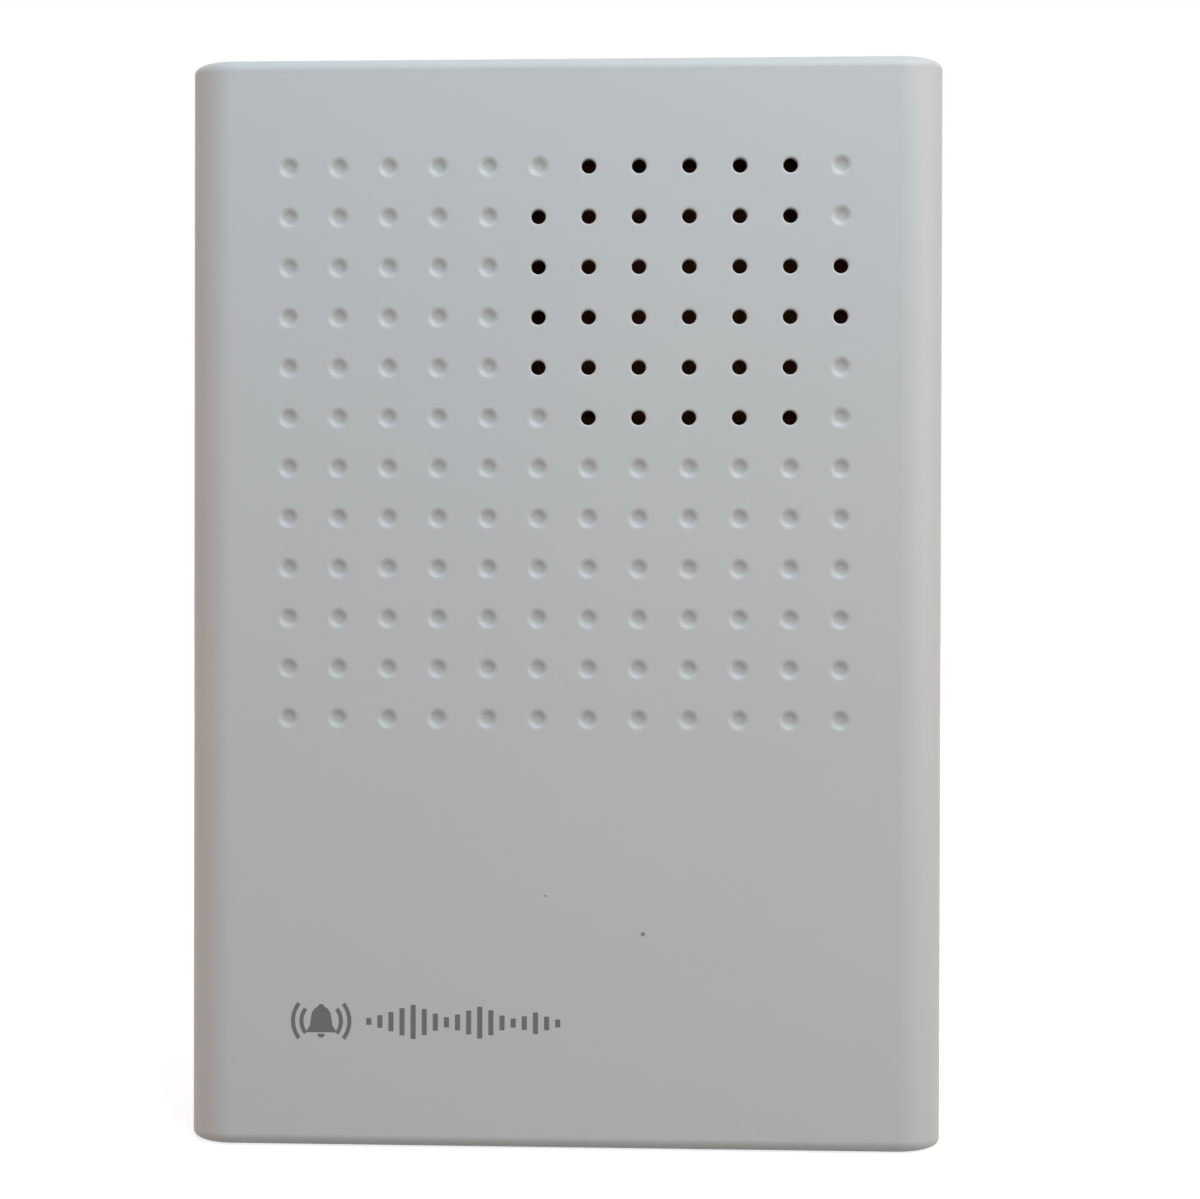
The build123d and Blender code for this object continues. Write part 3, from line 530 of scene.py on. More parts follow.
def makeWalls(name, low, high, radius, segments, endRadius, endSegments, cornerShare=1.0):
    # the four side walls and the front corners of a box that is open at the back, without its front face
    clearSelection()
    bpy.ops.mesh.primitive_cube_add(size=1, location=(low + high) / 2)
    walls = bpy.context.object
    walls.name = name
    walls.scale = high - low
    applyTransform()
    setMode("EDIT")
    pick(walls, "FACE", lambda face: face.center.y > high.y - near)
    bpy.ops.mesh.delete(type="ONLY_FACE")
    for edgeX in (low.x, high.x):
        pick(walls, "EDGE", lambda co: abs(co.x - edgeX) < near and abs(co.y - low.y) < near)
        bpy.ops.mesh.bevel(offset=radius * mm, segments=segments, affect="EDGES", profile=0.5)
    setMode("OBJECT")
    mesh = walls.data
    weights = mesh.attributes.new("bevel_weight_edge", "FLOAT", "EDGE")
    for edge in mesh.edges:
        ends = [mesh.vertices[i].co for i in edge.vertices]
        onEnd = any(all(abs(co.z - edgeZ) < near for co in ends) for edgeZ in (low.z, high.z))
        if onEnd and not all(co.y > high.y - near for co in ends):
            # full on the front, and less and less round the long edge to the side
            turned = min(max((ends[0].y + ends[1].y) / 2 - low.y, 0) / (radius * mm), 1)
            weights.data[edge.index].value = 1 + (cornerShare - 1) * turned
    applyModifier(
        walls, "BEVEL", limit_method="WEIGHT", width=endRadius * mm, segments=endSegments, profile=0.5,
        use_clamp_overlap=False)
    editPiece(walls)
    pick(walls, "FACE", lambda face: face.normal.y < -0.999 and face.center.y < low.y + near)
    bpy.ops.mesh.delete(type="ONLY_FACE")
    setMode("OBJECT")
    return walls


def makeShell():
    wall, pitch = coverShape["wall"] * mm, dotShape["pitch"] * mm
    dimple = makeTile("dimpleTile", dotShape["dimple"], False)
    hole = makeTile("holeTile", dotShape["hole"], True)
    tiles = []
    for row in range(dotShape["rows"]):
        for column in range(dotShape["columns"]):
            x = (column - (dotShape["columns"] - 1) / 2) * pitch
            z = coverHigh.z - dotShape["fromTop"] * mm - row * pitch
            isOpen = math.hypot(x - speakerAxis.x, z - speakerAxis.z) < dotShape["openRadius"] * mm
            tiles.append(copyTo(hole if isOpen else dimple, x, 0, z))
    for tile in (dimple, hole):
        bpy.data.objects.remove(tile)

    outer = makeWalls(
        "outerWalls", coverLow, coverHigh, coverShape["sideRadius"], coverShape["sideSegments"],
        coverShape["endRadius"], coverShape["endSegments"], coverShape["cornerShare"])
    inset = Vector((wall, 0, wall))
    inner = makeWalls(
        "innerWalls", coverLow + inset + Vector((0, wall, 0)), coverHigh - inset,
        coverShape["insideRadius"], coverShape["insideSegments"],
        coverShape["insideEndRadius"], coverShape["insideEndSegments"])
    shell = joinPieces([outer, inner] + tiles, "frontCover")
    editPiece(shell)
    selectAll()
    bpy.ops.mesh.remove_doubles(threshold=5 * near)

    # the flat borders: round the dots in front and behind, and the rim at the back
    for level in (coverLow.y, coverLow.y + wall, coverHigh.y):
        bpy.ops.mesh.select_mode(type="EDGE")
        bpy.ops.mesh.select_all(action="DESELECT")
        bpy.ops.mesh.select_non_manifold(
            extend=False, use_wire=True, use_boundary=True, use_multi_face=False, use_non_contiguous=False,
            use_verts=False)
        setMode("OBJECT")
        mesh = shell.data
        for edge in mesh.edges:
            onLevel = all(abs(mesh.vertices[i].co.y - level) < 10 * near for i in edge.vertices)
            edge.select = edge.select and onLevel
        setMode("EDIT")
        bpy.ops.mesh.fill(use_beauty=True)
    faceOutward()
    return shell


def cutNotch(shell):
    # the slot at the foot of the rim where a blade goes in
    shape = coverShape
    size = (shape["notchWidth"], shape["notchThrough"], 2 * shape["notchHeight"])
    cutter = addBlock("notchCutter", (0, coverHigh.y, coverLow.z + mm), size)
    applyModifier(cutter, "BEVEL", width=shape["notchEase"] * mm, segments=3)
    applyModifier(shell, "BOOLEAN", operation="DIFFERENCE", solver="EXACT", object=cutter)
    bpy.data.objects.remove(cutter)


def makeSoundRing():
    # a ring inside the face that leads the sound to the open dots
    inner, outer, height = coverShape["soundRing"]
    root, ease = coverShape["ringRoot"], coverShape["ringEase"]
    inside = -coverLow.y / mm - coverShape["wall"]
    crest = inside - height
    profile = [(inner, inside + root), (inner, crest + ease), (inner + ease, crest), (outer - ease, crest),
               (outer, crest + ease), (outer, inside + root)]
    return turnPiece("soundRing", profile, speakerAxis, 96, closed=True)


def makeBead(side, row):
    # a bead on the inside of a long wall, narrower at its crest
    shape = coverShape
    root, proud = shape["beadRoot"], shape["beadProud"]
    insideX = coverHigh.x / mm - shape["wall"]
    out = shape["beadLow"] + shape["beadHeight"] / 2
    bead = addBlock(
        "gripBead", at(side * (insideX + (root - proud) / 2), row, out),
        (proud + root, shape["beadLength"], shape["beadHeight"]))
    editPiece(bead)
    crestX = side * (insideX - proud) * mm
    pick(bead, "FACE", lambda face: abs(face.center.x - crestX) < 10 * near)
    bpy.ops.transform.resize(value=(1, *shape["beadCrest"]), center_override=at(0, row, out))
    setMode("OBJECT")
    return bead


shell = makeShell()
cutNotch(shell)
beads = [makeBead(side, row) for side in (-1, 1) for row in coverShape["beadRows"]]
frontCover = joinPieces([shell, makeSoundRing()] + beads, "frontCover")
finishPiece(frontCover, "cover", "mouldedAbsCover", degrees=40)
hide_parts("front_cover")
print("front cover:", len(frontCover.data.polygons), "faces")


# mark on the face: a bell with sound waves and a row of level bars, in grey ink

markShape = {
    "left": -23.9, "up": -36.8,
    "ink": 0.02, "proud": 0.01,                # thickness of the ink, and how much of it stands on the face
    # one side of the bell, from its crown down, in mm from its middle
    "bellSide": [
        (0.0, 1.5), (0.2, 1.45), (0.27, 1.28), (0.55, 1.12), (0.82, 0.75), (0.92, 0.2), (0.98, -0.35),
        (1.25, -0.8), (1.3, -1.0)],
    "clapper": (0.34, -1.13),                  # radius, and height of its flat side
    "waves": (1.75, 2.5), "waveWidth": 0.36, "waveAngle": 38,
    "bars": [0.6, 1.1, 1.7, 2.4, 3.0, 2.3, 1.5, 0.9, 1.4, 2.1, 2.8, 2.2, 1.3, 0.8, 1.2, 1.9, 1.2, 0.7],
    "barsFrom": 6.9, "barWidth": 0.45, "barPitch": 0.98,
}


def makeMark():
    # each shape is centred on the mark's own line, and sunk in the face by a part of the ink's thickness
    shape = markShape
    out = -coverLow.y / mm + shape["proud"]
    middleX = shape["left"] + shape["waves"][-1] + shape["waveWidth"] / 2

    def flat(outline):
        return cutFlat("inkShape", [at(x, shape["up"] + z, out) for x, z in outline], shape["ink"])

    side = shape["bellSide"]
    left = [(middleX - x, z) for x, z in reversed(side[1:])]
    parts = [flat([(middleX + x, z) for x, z in side] + left)]
    radius, top = shape["clapper"]
    half = [math.radians(180 + 22.5 * step) for step in range(9)]
    parts.append(flat([(middleX + radius * math.cos(a), top + radius * math.sin(a)) for a in half]))
    for waveRadius in shape["waves"]:
        for facing in (0, 180):
            angles = [math.radians(facing + shape["waveAngle"] * step / 5) for step in range(-5, 6)]
            outer = [(waveRadius + shape["waveWidth"] / 2, a) for a in angles]
            inner = [(waveRadius - shape["waveWidth"] / 2, a) for a in reversed(angles)]
            parts.append(flat([(middleX + r * math.cos(a), r * math.sin(a)) for r, a in outer + inner]))
    for number, height in enumerate(shape["bars"]):
        x = shape["left"] + shape["barsFrom"] + number * shape["barPitch"]
        half, rise = shape["barWidth"] / 2, height / 2
        parts.append(flat([(x - half, -rise), (x + half, -rise), (x + half, rise), (x - half, rise)]))
    return joinPieces(parts, "faceMark")


faceMark = makeMark()
finishPiece(faceMark, "cover", "padPrintedInkGrey", degrees=30)
print("face mark:", len(faceMark.data.polygons), "faces")


# speaker: pressed paper cone, dust cap, cloth edge and spider, and the braided leads to the coil

speakerShape = {
    "neck": (4.45, 18.0), "rim": (12.8, 22.4), "paper": 0.3,      # (radius, depth out of the wall)
    "ribs": (7.2, 8.6, 10.0, 11.4), "ribHalf": 0.3, "ribRise": 0.13,
    "capRadius": 5.6, "capRise": 1.8, "capSteps": 10, "capInside": 0.94, "capLift": 0.12,
    "glue": [(0.175, 0.07), (0.35, -0.05)],    # places of the fillet, from the foot of the cap and the paper
    "rollMiddle": 14.2, "rollRadius": 1.4, "cloth": 0.2, "lipRadius": 16.8, "lipFront": 22.8,
    "glueFlange": 0.8,
    "spiderOuter": 9.25, "spiderRim": 8.2, "spiderInner": 4.5, "spiderFloor": 15.25, "spiderRise": 1.2,
    "spiderWave": 0.2, "spiderWaves": 3, "spiderCloth": 0.22,
    "leadSide": 2.2, "leadThickness": 0.22, "leadDrop": 0.5, "leadDropShape": (1.1, 0.6, 1.0),
    "leadLine": [(-7.6, 19.15), (-9.4, 19.25), (-11.6, 19.0), (-12.2, 17.2), (-11.8, 15.0)],  # (up, out)
    "steps": 96,
}


def coneFront(radius):
    # the front of the paper at a radius
    (neckRadius, neckOut), (rimRadius, rimOut) = speakerShape["neck"], speakerShape["rim"]
    return neckOut + (rimOut - neckOut) * (radius - neckRadius) / (rimRadius - neckRadius)


def makeCone():
    shape = speakerShape
    line = [(shape["neck"][0], 0.0)]
    for rib in shape["ribs"]:
        for part, rise in ((-1, 0.0), (-0.5, 0.7), (0, 1.0), (0.5, 0.7), (1, 0.0)):
            line.append((rib + part * shape["ribHalf"], rise * shape["ribRise"]))
    line.append((shape["rim"][0], 0.0))
    front = [(radius, coneFront(radius) + rise) for radius, rise in line]
    back = [(radius, out - shape["paper"]) for radius, out in reversed(front)]
    return turnPiece("paperCone", front + back, speakerAxis, shape["steps"], closed=True)


def makeCap():
    # the dome, with a fillet of glue round its foot
    shape = speakerShape
    radius, rise, paper = shape["capRadius"], shape["capRise"], shape["paper"]
    foot = coneFront(radius)
    dome = (radius ** 2 + rise ** 2) / (2 * rise)
    steps = shape["capSteps"]
    angles = [math.asin(radius / dome) * step / steps for step in range(steps + 1)]
    front = [(dome * math.sin(a), foot + rise - dome * (1 - math.cos(a))) for a in angles]
    front[-1] = (radius, foot + shape["capLift"])
    glue = [(radius + away, coneFront(radius + away) + lift) for away, lift in shape["glue"]]
    back = [(r * shape["capInside"], out - paper) for r, out in reversed(front)]
    return turnPiece("dustCap", front + glue + back, speakerAxis, shape["steps"])


def makeEdge():
    # the cloth edge: glued to the basket, rolled once, and glued to the front of the cone
    shape = speakerShape
    cloth, roll, middle, front = shape["cloth"], shape["rollRadius"], shape["rollMiddle"], shape["lipFront"]
    rim = shape["rim"][0]
    flange = rim - shape["glueFlange"]
    arc = [math.radians(15 * step) for step in range(13)]
    top = [(shape["lipRadius"], front), (middle + roll + 0.1, front)]
    top += [(middle + roll * math.cos(a), front + roll * math.sin(a)) for a in arc]
    top += [(rim - 0.02, coneFront(rim) + cloth), (flange, coneFront(flange) + cloth)]
    top.append((flange - 0.05, coneFront(flange)))
    under = [(rim, coneFront(rim) + 0.02)]
    small = roll - cloth
    under += [(middle + small * math.cos(a), front - cloth + roll * math.sin(a)) for a in reversed(arc)]
    under.append((shape["lipRadius"], front - cloth))
    return turnPiece("clothEdge", top + under, speakerAxis, shape["steps"], closed=True)


def makeSpider():
    # the corrugated disc behind the cone, glued to the basket's floor outside and to the former inside
    shape = speakerShape
    outer, rim, inner = shape["spiderOuter"], shape["spiderRim"], shape["spiderInner"]
    count = 10 * shape["spiderWaves"]
    line = [(outer, 0.0)]
    for step in range(count + 1):
        part = step / count
        wave = shape["spiderWave"] * math.sin(math.tau * shape["spiderWaves"] * part)
        line.append((rim + (inner - rim) * part, shape["spiderRise"] * part + wave))
    front = [(radius, shape["spiderFloor"] + rise) for radius, rise in line]
    back = [(radius, out - shape["spiderCloth"]) for radius, out in reversed(front)]
    return turnPiece("corrugatedSpider", front + back, speakerAxis, shape["steps"], closed=True)


def makeLead(side):
    # a braided lead, from a drop of glue on the paper to the tag board
    shape = speakerShape
    x = speakerAxis.x / mm + side * shape["leadSide"]
    up = speakerAxis.z / mm
    clearSelection()
    bpy.ops.curve.primitive_nurbs_path_add()
    lead = bpy.context.object
    lead.location = (0, 0, 0)
    spline = lead.data.splines[0]
    for point, (y, out) in zip(spline.points, shape["leadLine"]):
        point.co = (*at(x, up + y, out), 1)
    lead.data.bevel_depth = shape["leadThickness"] * mm
    lead.data.bevel_resolution = 3
    lead.data.resolution_u = 8
    lead.data.use_fill_caps = True
    bpy.ops.object.convert(target="MESH")
    startUp, startOut = shape["leadLine"][0]
    drop = addDrop(at(x, up + startUp, startOut), shape["leadDrop"], shape["leadDropShape"], 16, 10)
    return joinPieces([lead, drop], "tinselLead")


paperCone = makeCone()
finishPiece(paperCone, "cone", "pressedPulpPaper", degrees=50)
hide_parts("cone")
dustCap = makeCap()
finishPiece(dustCap, "cone", "pressedPulpPaper", degrees=50)
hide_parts("dust_cap")

clothEdge = makeEdge()
finishPiece(clothEdge, None, "dopedCloth", degrees=60)
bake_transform(clothEdge)
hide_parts("surround")

corrugatedSpider = makeSpider()
finishPiece(corrugatedSpider, None, "resinedCloth", degrees=60)
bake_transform(corrugatedSpider)
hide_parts("spider")

tinselLeads = joinPieces([makeLead(-1), makeLead(1)], "tinselLeads")
finishPiece(tinselLeads, None, "braidedCopper", degrees=60)
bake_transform(tinselLeads)
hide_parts("tinsel_leads")
print("speaker done")


# circuit board: copper tracks under the mask, printed outlines, solder, and the two electrolytic cans

boardShape = {
    "front": 7.6, "thickness": 1.6,
    "track": 0.03, "trackWidth": 0.7, "powerWidth": 1.5, "padRadius": 0.8,
    "ink": 0.02, "inkWidth": 0.18,
    "solder": 0.09, "legPad": (0.75, 1.0),
    "fillet": [(0.3, 0.48), (0.38, 0.3), (0.55, 0.12)], "filletTop": 0.5, "filletFoot": 0.02,
    "tagJoint": (-14.6, 12.95), "tagJointRadius": 0.9, "tagJointShape": (0.8, 0.55, 1.3),
}


def makeStrip(start, end, width, thickness, name):
    # a straight strip between two (x, up) places, as deep in the board as it stands out of it
    middle = ((start[0] + end[0]) / 2, (start[1] + end[1]) / 2)
    length = math.dist(start, end)
    turn = math.degrees(math.atan2(end[1] - start[1], end[0] - start[0]))
    return addBlock(name, at(*middle, boardShape["front"]), (length, width, 2 * thickness), turn=turn)


def makeDisc(name, place, radius, thickness):
    clearSelection()
    bpy.ops.mesh.primitive_cylinder_add(
        vertices=16, radius=radius * mm, depth=2 * thickness * mm,
        location=at(*place, boardShape["front"]), rotation=(math.pi / 2, 0, 0))
    bpy.context.object.name = name
    applyTransform()
    return bpy.context.object


# the (x, up) places that each track runs through
powerRoutes = [
    [(-18, -2.4), (-18, 1), (-25, 1), (-25, -30), (-21.5, -33), (-16, -33)],
    [(-13, -2.4), (-9.5, -2.4), (-7, 0.2), (-4, 0.2)],
    [(-4, -5.4), (0, -5.4), (3.6, -4.5)],
    [(6.2, -4.5), (10.4, -4.5), (13.4, -1.4), (19.6, -1.4), (21.6, -3.4), (21.6, -8)],
]
signalRoutes = [
    [(-19.7, -20.6), (-19.7, -24.5), (-22.5, -27.3)],
    [(-16.2, -20.6), (-16.2, -27), (-12, -31.2), (9, -31.2), (10, -30.2), (10, -23.1)],
    [(-13.8, -20.6), (-13.8, -25.5), (-10.2, -29.1), (3, -29.1), (4.4, -27.7), (4.4, -20), (6.2, -18.2),
     (6.2, -16.5)],
    [(-11.5, -20.6), (-11.5, -23.5), (-8, -27), (-1, -27), (0.5, -25.5), (0.5, -18), (-1.7, -16)],
    [(-18.5, -12.4), (-18.5, -9.5), (-15, -9.5)],
    [(-11.5, -12.4), (-11.5, -9), (-8, -5.5), (-4, -5.5)],
    [(12.6, -6.1), (12.6, -4.4), (15.5, -1.4)],
    [(13.9, -11.9), (13.9, -15), (11, -17.9), (8.8, -17.9)],
    [(15.1, -11.9), (15.1, -19), (12, -20)],
    [(16.4, -11.9), (16.4, -14.5), (19.5, -17.6), (23.5, -17.6), (23.5, -21), (18.7, -21.5)],
    [(8.4, 1.9), (8.4, -0.6), (10.6, -2.8)],
    [(12.8, 1.9), (18, 1.9), (22.4, -2.5), (23.8, -5), (23.8, -9)],
    [(15.3, -23.1), (15.3, -26.5), (17.3, -28.5), (21.5, -28.5)],
    [(-7.2, -8.5), (-7.2, -14.5), (-5.5, -16), (-4.3, -16)],
    [(-23, -12.6), (-21, -14.6), (-21, -18), (-23, -18.6)],
]
trackPads = [
    (-22.5, -27.3), (-16, -33), (-15, -9.5), (21.5, -28.5), (10.6, -2.8), (12, -20), (-25, -30),
    (-4, 0.2), (-4, -5.5)]


def makeTracks():
    parts = []
    routes = [(boardShape["powerWidth"], route) for route in powerRoutes]
    routes += [(boardShape["trackWidth"], route) for route in signalRoutes]
    for width, route in routes:
        for number, (start, end) in enumerate(zip(route, route[1:])):
            # strips that meet differ a little in thickness
            thickness = boardShape["track"] * (1 + 0.15 * (number % 2))
            parts.append(makeStrip(start, end, width, thickness, "copperTrack"))
        parts += [makeDisc("trackCorner", place, width / 2, 0.85 * boardShape["track"]) for place in route]
    padRadius, padThickness = boardShape["padRadius"], 1.3 * boardShape["track"]
    parts += [makeDisc("trackPad", place, padRadius, padThickness) for place in trackPads]
    return joinPieces(parts, "boardTracks")


# printed outlines: centre and size of each frame, and centre and radius of each ring
printedFrames = [
    ((-15, -16.5), (11, 5.8)), ((14.5, -9), (6.4, 3.4)), ((-4, 0), (3.4, 5)), ((-4, -5.6), (3.4, 5)),
    ((-15.5, -0.5), (11.4, 9.4)), ((14.5, -3.5), (4.6, 2.6)), ((-15, -9.5), (4.6, 2.6)),
    ((-23, -17), (2.6, 4.6)), ((-23, -11), (2.4, 4.6)), ((-7.5, -9.5), (2.4, 4.6)),
    ((8.5, -21.5), (2.4, 4.6)), ((5.1, -21.5), (2.4, 4.6)), ((-1.7, -21.5), (2.4, 4.6)),
    ((1.7, -21.5), (2.4, 4.6)),
]
printedRings = [((4.9, -4.5), 4.35), ((22, -9), 3.5), ((-3, -16), 2.6), ((7.5, -16.5), 2.6)]


def makeOutlines():
    ink, width = boardShape["ink"], boardShape["inkWidth"]
    parts = []
    for (x, up), (across, tall) in printedFrames:
        half, rise = across / 2, tall / 2
        corners = [(x - half, up - rise), (x + half, up - rise), (x + half, up + rise), (x - half, up + rise)]
        for number, (start, end) in enumerate(zip(corners, corners[1:] + corners[:1])):
            parts.append(makeStrip(start, end, width, ink * (2 + 0.2 * (number % 2)), "printedLine"))
    for (x, up), radius in printedRings:
        low, high = boardShape["front"], boardShape["front"] + 2.1 * ink
        profile = [(radius, low), (radius, high), (radius + width, high), (radius + width, low)]
        parts.append(turnPiece("printedRing", profile, at(x, up, 0), 48, closed=True))
    return joinPieces(parts, "boardOutlines")


def makeFillet(place, radius, front=True):
    # solder drawn up round a pin: wide at the board and hollow towards the pin
    shape = boardShape
    level = shape["front"] if front else shape["front"] - shape["thickness"]
    side = 1 if front else -1
    rises = [(0, shape["filletTop"]), *shape["fillet"], (radius, shape["filletFoot"]), (radius, 0), (0, 0)]
    return turnPiece("solderFillet", [(r, level + side * rise) for r, rise in rises], at(*place, 0), 20)


# solder: centre, pitch and reach of each chip's legs, and the places of the pins
chipLegs = [((-15, -16.5), 2.35, 4), ((14.5, -9), 1.25, 2.85)]
smallPins = [(-4.27, -16), (-3, -16), (-1.73, -16), (6.23, -16.5), (7.5, -16.5), (8.77, -16.5)]
leadPins = [(8.4, 1.9), (12.8, 1.9)]
backPins = [(-18.04, -2.5), (-12.96, -2.5), (3.65, -4.5), (6.15, -4.5), (20.75, -9), (23.25, -9)]


def makeSolder():
    shape = boardShape
    lift = shape["solder"]
    parts = []
    for (x, up), pitch, reach in chipLegs:
        for number in range(4):
            for side in (-1, 1):
                place = at(x + (number - 1.5) * pitch, up + side * reach, shape["front"] + lift / 2)
                parts.append(addBlock("legPad", place, (*shape["legPad"], lift), edge=0.03))
    parts += [makeFillet(place, 0.6) for place in smallPins]
    parts += [makeFillet(place, 0.9) for place in leadPins]
    parts += [makeFillet(place, 1.0, front=False) for place in backPins]
    up, out = shape["tagJoint"]
    for side in (-1, 1):      # the leads soldered on the backs of the tags
        place = at(speakerAxis.x / mm + side * speakerShape["leadSide"], speakerAxis.z / mm + up, out)
        parts.append(addDrop(place, shape["tagJointRadius"], shape["tagJointShape"], 20, 12))
    return joinPieces(parts, "solderJoints")


# the small parts' tinned ends: centre, turn and height of each part, and the centres of the diodes
endedParts = [((14.5, -3.5), 0, 1.1), ((-15, -9.5), 0, 1.1), ((-23, -17), 90, 1.1)]
endedParts += [((x, up), 90, 0.6) for x, up in (
    (-7.5, -9.5), (-23, -11), (8.5, -21.5), (5.1, -21.5), (1.7, -21.5), (-1.7, -21.5))]
diodes = [(-4, 0), (-4, -5.6)]
endShape = {"shift": 1.38, "along": 0.5, "across": 1.64, "proud": 0.02}
# name, distance from the diode's centre, and size of each bent tab's two legs
diodeTabs = [("diodeTab", 2.3, (1.5, 0.22, 1.1)), ("diodeFoot", 2.45, (1.46, 0.5, 0.2))]


def makeTerminations():
    # tinned ends of the small surface-mounted parts, and the bent tabs of the diodes
    shape, front = endShape, boardShape["front"]
    parts = []
    for (x, up), turn, height in endedParts:
        tall = height + shape["proud"]
        for side in (-1, 1):
            shift = side * shape["shift"]
            dx, dz = (shift, 0) if turn == 0 else (0, shift)
            size = (shape["along"], shape["across"]) if turn == 0 else (shape["across"], shape["along"])
            place = at(x + dx, up + dz, front + tall / 2)
            parts.append(addBlock("tinnedEnd", place, (*size, tall), edge=0.05))
    for x, up in diodes:
        for side in (-1, 1):
            for name, away, size in diodeTabs:
                place = at(x, up + side * away, front + size[2] / 2)
                parts.append(addBlock(name, place, size, edge=0.06))
    return joinPieces(parts, "tinnedEnds")


canShape = {
    # how far in from the side and up from the board: the foot, and the rolled groove
    "foot": [(0.5, 0), (0.12, 0.1), (0, 0.35), (0, 1.3), (0.245, 1.55), (0.35, 1.9), (0.245, 2.25), (0, 2.5)],
    # how far in from the side and down from the top: the shoulder, and the bare top in its rim
    "head": [(0, 0.45), (0.08, 0.22), (0.25, 0.06), (0.5, 0), (0.9, 0.01), (0.96, 0.09)],
    "rim": 0.9, "sunk": 0.09, "stripeHalfAngle": 24, "sides": 64,
    "ventLength": 1.25, "ventWidth": 0.22, "ventDepth": 0.12,     # the length goes with the radius
}


def makeCan(name, centre, radius, height, stripeAngle):
    # an electrolytic can: sleeve shrunk over the shoulder and the rolled groove, bare top with a scored cross
    shape = canShape
    low = boardShape["front"]
    high = low + height
    top = high - shape["sunk"]
    profile = [(0, low)] + [(radius - inset, low + rise) for inset, rise in shape["foot"]]
    profile += [(radius - inset, high - drop) for inset, drop in shape["head"]] + [(0, top)]
    can = turnPiece(name, profile, at(*centre, 0), shape["sides"])
    for turn in (45, 135):
        size = (shape["ventLength"] * radius, shape["ventWidth"], 2 * shape["ventDepth"])
        cutter = addBlock("ventCutter", at(*centre, top), size, turn=turn)
        applyModifier(can, "BOOLEAN", operation="DIFFERENCE", solver="EXACT", object=cutter)
        bpy.data.objects.remove(cutter)
    editPiece(can)
    selectAll()
    bpy.ops.mesh.dissolve_limited(angle_limit=math.radians(0.5))
    bpy.ops.mesh.dissolve_degenerate(threshold=near)
    setMode("OBJECT")
    finishPiece(can, "base", "shrunkSleeve", "shrunkSleeveStripe", "drawnAluminium", degrees=40)
    middle = at(*centre, 0)
    for face in can.data.polygons:
        across = face.center - middle
        reach = math.hypot(across.x, across.z) / mm
        angle = math.degrees(math.atan2(across.z, across.x))
        turned = abs((angle - stripeAngle + 180) % 360 - 180)
        if reach < radius - shape["rim"] and -face.center.y / mm > high - 0.5:
            face.material_index = 2
        elif turned < shape["stripeHalfAngle"] and reach > radius - 0.6:
            face.material_index = 1
    return can


boardTracks = makeTracks()
finishPiece(boardTracks, "base", "solderMaskOnCopper")
boardOutlines = makeOutlines()
finishPiece(boardOutlines, "base", "screenPrintedInkWhite")
solderJoints = makeSolder()
finishPiece(solderJoints, "base", "solderAlloyMelted", degrees=50)
tinnedEnds = makeTerminations()
finishPiece(tinnedEnds, "base", "tinnedCopper")
supplyCan = makeCan("supplyCan", (4.9, -4.5), 4.0, 11.5, 200)
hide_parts("supply_capacitor")
outputCan = makeCan("outputCan", (22.0, -9.0), 3.15, 11.0, 250)
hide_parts("output_capacitor")
print("circuit board done")


# studio: a neutral key light from the upper right, a blue one from above, a side light, a warm fill from
# the left, and a cool one behind; places in metres and powers in watts

studio = {
    "floorSize": 3.0, "floorColour": "#a9a5a0",
    "floorNear": 0.76, "floorFar": 0.97, "nearReach": 0.08, "farReach": 0.5,
    "ambient": 0.503, "ambientColour": "#ffe9d4",
}
# place, size, power and colour of each lamp
lamps = {
    "keyLight": ((0.15, -0.2, 0.28), 0.2, 0.79, "#fbf8f6"),
    "skyLight": ((-0.015, -0.165, 0.195), 0.3, 0.38, "#90d4fa"),
    "sideLight": ((0.5, -0.2, 0.07), 0.35, 0.91, "#fdf6f6"),
    "fillLight": ((-0.52, -0.14, 0.02), 0.4, 0.62, "#ff9464"),
    "backLight": ((0.0, 0.5, 0.12), 0.4, 1.4, "#e2ebf6"),
}
# the camera's place in mm, its turns in degrees, and its lens and sensor in mm
cameraView = {
    "place": (9.122, -186.769, 1.247), "turns": (89.695, -0.1394, 2.096), "lens": 54.8, "sensor": 36,
    "clipStart": 0.01,
}


def whiteRays(tree):
    # 1 for rays from the camera and for reflected or refracted ones, which see a plain white studio
    path = addNode(tree, "LightPath")
    seen = addNode(tree, "Math", {
        0: path.outputs["Is Camera Ray"], 1: path.outputs["Is Glossy Ray"],
    }, operation="MAXIMUM")
    return addNode(tree, "Math", {
        0: seen, 1: path.outputs["Is Transmission Ray"],
    }, operation="MAXIMUM")


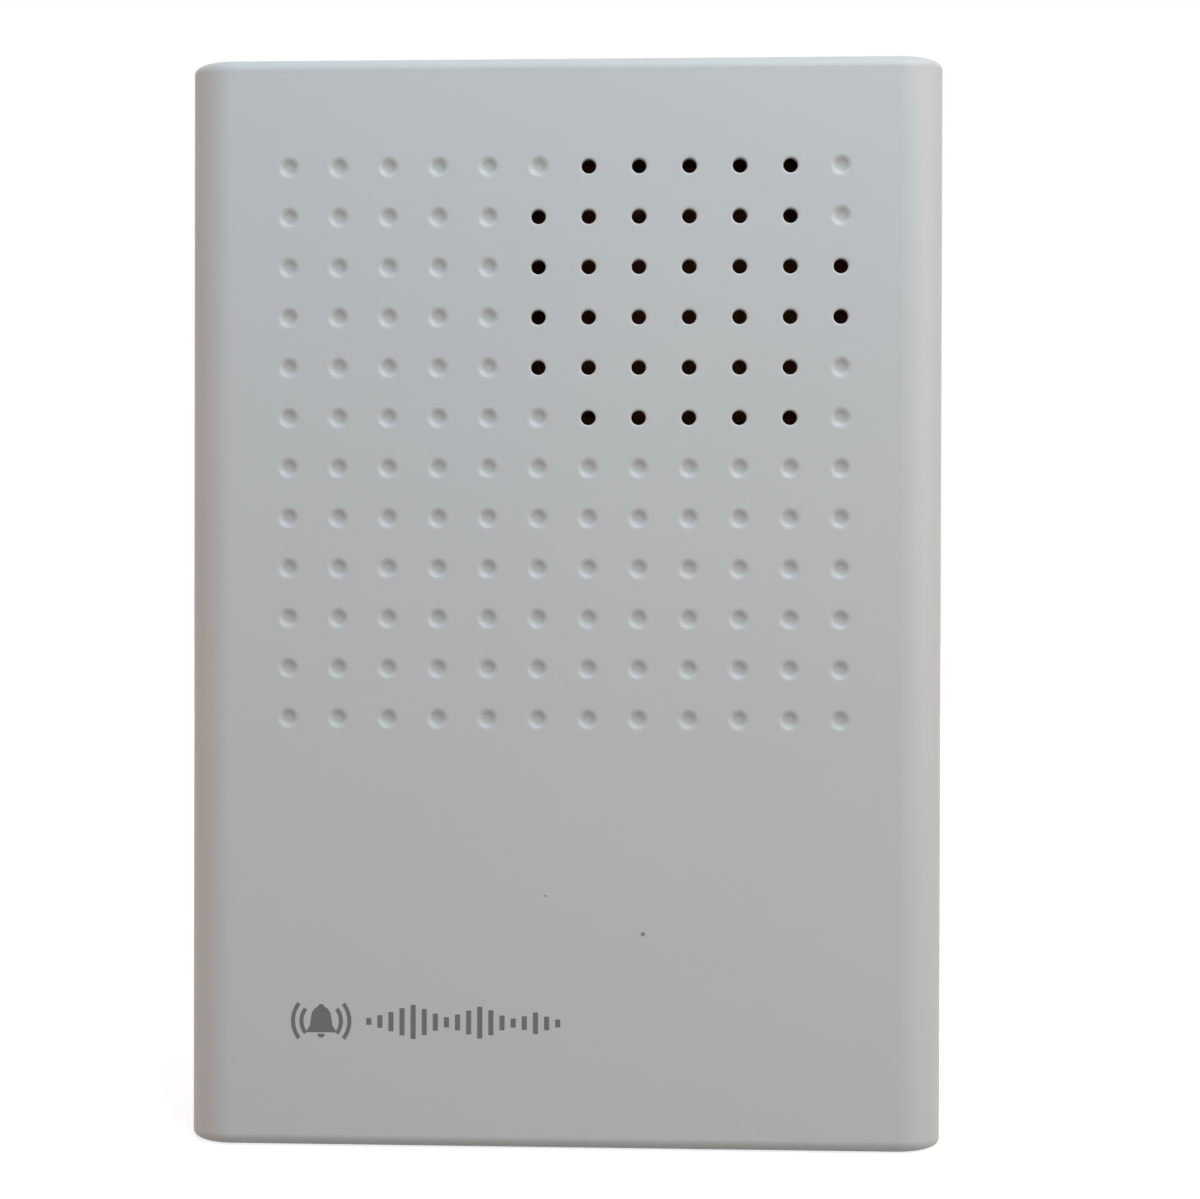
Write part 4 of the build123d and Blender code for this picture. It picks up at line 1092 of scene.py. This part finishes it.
def makeFloor():
    # painted floor that keeps the shadow near the object and turns to plain white farther out
    clearSelection()
    bpy.ops.mesh.primitive_plane_add(size=studio["floorSize"], location=(0, 0, cadBox[0].z))
    floor = bpy.context.object
    floor.name = "studioFloor"
    tree = newMaterial("paintedFloorWhite")
    place = addNode(tree, "TexCoord").outputs["Object"]
    reach = addNode(tree, "VectorMath", {0: place}, operation="LENGTH")
    level = addNode(tree, "MapRange", {
        0: reach.outputs["Value"], 1: studio["nearReach"], 2: studio["farReach"],
        3: studio["floorNear"], 4: studio["floorFar"],
    }, interpolation_type="SMOOTHSTEP")
    strength = addNode(tree, "Math", {0: whiteRays(tree), 1: level}, operation="MULTIPLY")
    paint = addNode(tree, "BsdfDiffuse", {"Color": toLinear(studio["floorColour"])})
    glow = addNode(tree, "Emission", {"Color": (1, 1, 1, 1), "Strength": strength})
    both = addNode(tree, "AddShader", {0: paint, 1: glow})
    addNode(tree, "OutputMaterial", {"Surface": both})
    floor.data.materials.append(finishes["paintedFloorWhite"])


def makeWorld():
    world = bpy.data.worlds.new("whiteStudio")
    bpy.context.scene.world = world
    world.use_nodes = True
    tree = world.node_tree
    tree.nodes.clear()
    white = whiteRays(tree)
    level = addNode(tree, "MapRange", {0: white, 3: studio["ambient"], 4: 1.0})
    colour = addNode(tree, "Mix", {
        0: white, 6: toLinear(studio["ambientColour"]), 7: (1, 1, 1, 1),
    }, data_type="RGBA")
    light = addNode(tree, "Background", {"Color": colour.outputs[2], "Strength": level})
    addNode(tree, "OutputWorld", {"Surface": light})


def makeLamp(name, place, size, power, colour):
    clearSelection()
    bpy.ops.object.light_add(type="AREA", location=place)
    light = bpy.context.object
    light.name = name
    light.data.size = size
    light.data.energy = power
    light.data.color = toLinear(colour)[:3]
    light.rotation_euler = (-light.location).to_track_quat("-Z", "Y").to_euler()


def makeCamera():
    clearSelection()
    bpy.ops.object.camera_add(
        location=[step * mm for step in cameraView["place"]],
        rotation=[math.radians(turn) for turn in cameraView["turns"]])
    camera = bpy.context.object
    camera.data.lens = cameraView["lens"]
    camera.data.sensor_width = cameraView["sensor"]
    camera.data.clip_start = cameraView["clipStart"]
    bpy.context.scene.camera = camera


makeFloor()
makeWorld()
for name, lamp in lamps.items():
    makeLamp(name, *lamp)
makeCamera()
bpy.context.scene.view_settings.view_transform = "Standard"
print("studio ready")
